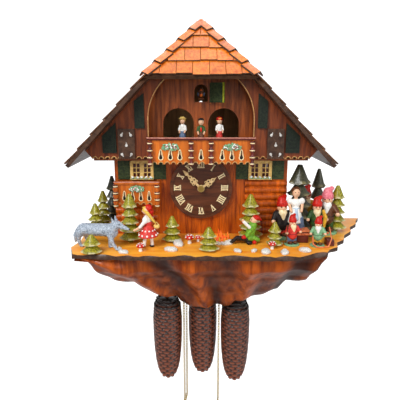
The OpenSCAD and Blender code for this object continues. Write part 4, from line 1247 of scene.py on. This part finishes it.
def row_of(piece, places):
    out = []
    for x, depth, z, wide in places:
        c = copy_of(piece)
        c.data.transform(Matrix.Translation(v(x, depth, z)) @ Matrix.Scale(wide, 4, (1, 0, 0)))
        out.append(c)
    return out


places = [(s * (106 + k * 12), 150.6, -104, 1.0) for s in (-1, 1) for k in range(9)]
for centre, wide in ((-57.5, 72), (0, 32), (57.5, 72)):
    count = wide // 12
    places += [(centre - wide / 2 + 6 + k * 12, 165.4, -112, 0.95) for k in range(count)]
places += [(-125 - 41 + 6 + k * 12, 150.4, -194, 0.95) for k in range(6)]
cream_parts += row_of(bead, places)
bpy.data.objects.remove(bead)
place(smooth(joined(cream_parts), 50), "cream_mouldings", trim_tan, "case")

rim = torus(24, 8, 4.0, 1.0, rotation=UPRIGHT)
pick(rim, lambda co: co.z > 1.5 * mm)
bpy.ops.transform.resize(value=(0.55, 1, 1))
bpy.ops.transform.translate(value=(0, 0, 5 * mm))
leave_edit()
shift(rim, lambda co: co.z > 7.5 * mm, (0, 0, 6 * mm))
places = [(s * 57.5 + k, 165.2, -100, 1.0) for s in (-1, 1) for k in (-18, 0, 18)] + [(0, 165.2, -100, 1.0)]
places += [(-125 + k, 150.2, -182, 0.9) for k in (-24, -8, 8, 24)]
rims = row_of(rim, places)
bpy.data.objects.remove(rim)
place(smooth(joined(rims), 50), "keyhole_rims", cream, "case")
dark_holes = [ball(x, depth - 0.5, z + 1, 3.3, 1.0, 5.0) for x, depth, z, wide in places]
holes = tint(joined(dark_holes), 0.0)
place(smooth(holes, 80), "keyhole_shadows", black, "case")

# %% Balcony rail and posts
POST = [(2.6, -3), (3.0, -1.5), (4.4, 0), (4.4, 3), (3.2, 5), (3.2, 9), (5.0, 12), (5.0, 15), (3.2, 18),
        (3.2, 22), (5.0, 25), (5.0, 28), (3.2, 31), (3.2, 35), (4.4, 38), (4.4, 43.5)]
BANDS = [(4.6, 0.2), (4.6, 2.8), (5.2, 12.3), (5.2, 14.7), (5.2, 25.3), (5.2, 27.7), (4.6, 38.5), (4.6, 41)]
post_places = [(s * 95, 170, -112) for s in (-1, 1)] + [(s * 18.5, 170, -112) for s in (-1, 1)] \
    + [(-85, 155, -196), (-165, 155, -196)]
posts = joined([turned(POST, p, 18) for p in post_places])
place(smooth(posts, 50), "balcony_posts", rail_red, "case", ["balcony_rails"])
bands = []
for p in post_places:
    for (ra, low), (rb, high) in zip(BANDS[::2], BANDS[1::2]):
        bands.append(turned([(ra - 0.4, low), (ra, low + 0.4), (rb, high - 0.4), (rb - 0.4, high)], p, 18))
post_bands = tint(joined(bands), 0.0)
place(smooth(post_bands, 50), "post_bands", cream, "case")
rail = joined([box((-100, -169, -67), (100, -159, -62)), box((-100, -160, -67), (-95, -151.5, -62)),
               box((95, -160, -67), (100, -151.5, -62))])
place(smooth(bevelled(rail, 1.6 * mm, 3)), "balcony_top_rail", rail_red, "case")
# painted highlight: thin pale strips along the top front edges of the balcony rail and the side balcony
# rail, for the light they catch
edge_line = box((-101, -169.6, -63.6), (101, -168.6, -61.8))
side_line = box((-169, -153.6, -149.6), (-81, -152.6, -147.8))
place(smooth(bevelled(joined([edge_line, side_line]), 0.35 * mm)), "rail_painted_highlight_lines", rail_painted_highlight,
      "case")

# %% Petals, panes and sills
petals = []
for s in (-1, 1):
    for x, z, lean in ((132, -58, 1), (149, -58, -1), (140.5, -77, 0), (132, -95, -1), (149, -95, 1)):
        leaf = roll((0, 0, -0.9), (0, 0, 3.8), 2.8, 1.2)
        leaf.data.transform(Matrix.Translation(v(s * x, 155.6,
                                                 z)) @ Matrix.Rotation(math.radians(28 * lean * s), 4, "Y")
                            @ Matrix.Diagonal((1, 0.34, -1 if z < -90 else 1, 1)))
        petals.append(outward(leaf))
place(smooth(tint(joined(petals), 0.0), 80), "shutter_petals", petal_grey, "case")

panes = []
for s in (-1, 1):
    panes.append(box((s * 117 - 22, -121.4, -147), (s * 117 + 22, -120.1, -113)))
place(smooth(bevelled(joined(panes), 0.4 * mm)), "window_panes", dark_red, "case")

# %% Garlands and sill flowers
leaf = fresh("ico_sphere", (2.4 * mm, 0.8 * mm, 1.3 * mm), subdivisions=1, radius=1)
bloom = fresh("cone", vertices=10, radius1=2.2 * mm, radius2=0.7 * mm, depth=1.6 * mm, rotation=UPRIGHT)
squeeze(bloom, lambda co: math.hypot(co.x, co.z) > 1.5 * mm
        and round(math.atan2(co.z, co.x) / math.radians(36)) % 2, (0.6, 1, 0.6))


def spray(shape, centre, spread, count, sizes):
    out = []
    for _ in range(count):
        a, q = chance.uniform(0, 2 * math.pi), math.sqrt(chance.uniform(0, 1))
        x, z = centre[0] + spread[0] * q * math.cos(a), centre[2] + spread[1] * q * math.sin(a)
        z -= abs(x - centre[0]) * 0.08
        turn = Matrix.Rotation(chance.uniform(0, 6), 4, "Y")
        turn = turn @ Matrix.Rotation(chance.uniform(-0.5, 0.5), 4, "X")
        c = copy_of(shape)
        c.data.transform(Matrix.Translation(v(x, centre[1] + chance.uniform(0, 3) * (1 - q * 0.6),
                                              z)) @ turn
                         @ Matrix.Scale(chance.uniform(*sizes), 4))
        out.append(tint(c, chance.uniform(0, 0.35)))
    return out


leaves, whites, pinks = [], [], []
for centre, spread in (((-57.5, 166.2, -79), (17, 6.5)), ((57.5, 166.2, -79), (17, 6.5)),
                       ((-125, 151, -162), (15, 6))):
    leaves += spray(leaf, centre, spread, 90, (0.7, 1.2))
    whites += spray(bloom, (centre[0], centre[1] + 2, centre[2]), (spread[0] * 0.9, spread[1] * 0.8), 13,
                    (0.6, 1.0))
    pinks += spray(bloom, (centre[0], centre[1] + 2, centre[2]), (spread[0] * 0.8, spread[1] * 0.7), 7,
                   (0.5, 0.8))
for s in (-1, 1):
    for k in range(5):
        whites += spray(bloom, (s * (99 + k * 9), 129.6, -143.4), (0.5, 0.5), 1, (1.35, 1.55))
        leaves += spray(leaf, (s * (99 + k * 9), 128.4, -145), (4, 1.2), 7, (0.6, 0.9))
place(smooth(joined(leaves), 40), "garland_leaves", mint, "case", ["garlands"])
place(smooth(joined(whites), 40), "garland_white_blooms", white, "case")
place(smooth(joined(pinks), 40), "garland_pink_blooms", pink, "case")
for o in (leaf, bloom):
    bpy.data.objects.remove(o)

# %% Hands
for name, node_name, body in (("minute_hand_cut", "minute_hand", "minute_works"),
                              ("hour_hand_cut", "hour_hand", "hour_works")):
    eased_copy(name, node_name, hand_tan, 0.35, body)

# %% [markdown]
# The cuckoo's door is painted like the shutters; the pale yellow-green strip on its edge is a painted
# highlight where the edge catches the light.

# %% Door edge
# painted highlight: a thin pale strip on the door's lit edge
edge_strip = box((28.2, -1.5, 1), (32, -1.1, 38))
edge_strip.data.transform(Matrix.Translation(v(18, 118, 0)) @ Matrix.Rotation(math.radians(-35), 4, "Z"))
door_edge_highlight = paint("lime edge", (176, 178, 52), (128, 132, 30))
place(smooth(bevelled(edge_strip, 0.12 * mm)), "door_edge_painted_highlight", door_edge_highlight, "cuckoo_door")
print("trims done")

# %% [markdown]
# ## Nodes whose shape is already right
# Boards, wheels and rings need no new shape, only their finish, so they stay
# and take a material in place of the plain one.

# %% Finish the nodes that stay
STAYING = {
    "back_panel": plain_lime, "side_walls": case_stain, "front_wall": front_stain,
    "stage_floor": case_stain, "stage_wall": stage_stain, "roof_boards": dark_stain,
    "gable_board": gable_stain, "gable_shutters": shaded_shutter_green, "green_shutters": green,
    "window_frames": window_cream, "dial": dial_stain, "numerals": numeral_cream,
    "movement_frame": brass, "centre_arbor": brass, "hour_wheel": brass, "minute_wheel": brass,
    "pendulum": case_stain, "gong_hammer": steel, "gong": steel, "music_box": steel,
    "music_cylinder": brass, "bellows": plain_lime, "carousel": case_stain, "cuckoo_door": green,
    "leaf_shutters": dark_stain, "balcony_panels": panel_orange, "side_balcony": panel_orange,
    "chain_wheel_left": brass, "chain_wheel_centre": brass, "chain_wheel_right": brass,
}
for name, look in STAYING.items():
    mesh = nodes[name].data
    mesh.materials.clear()
    mesh.materials.append(look)
print("finished in place:", len(STAYING))
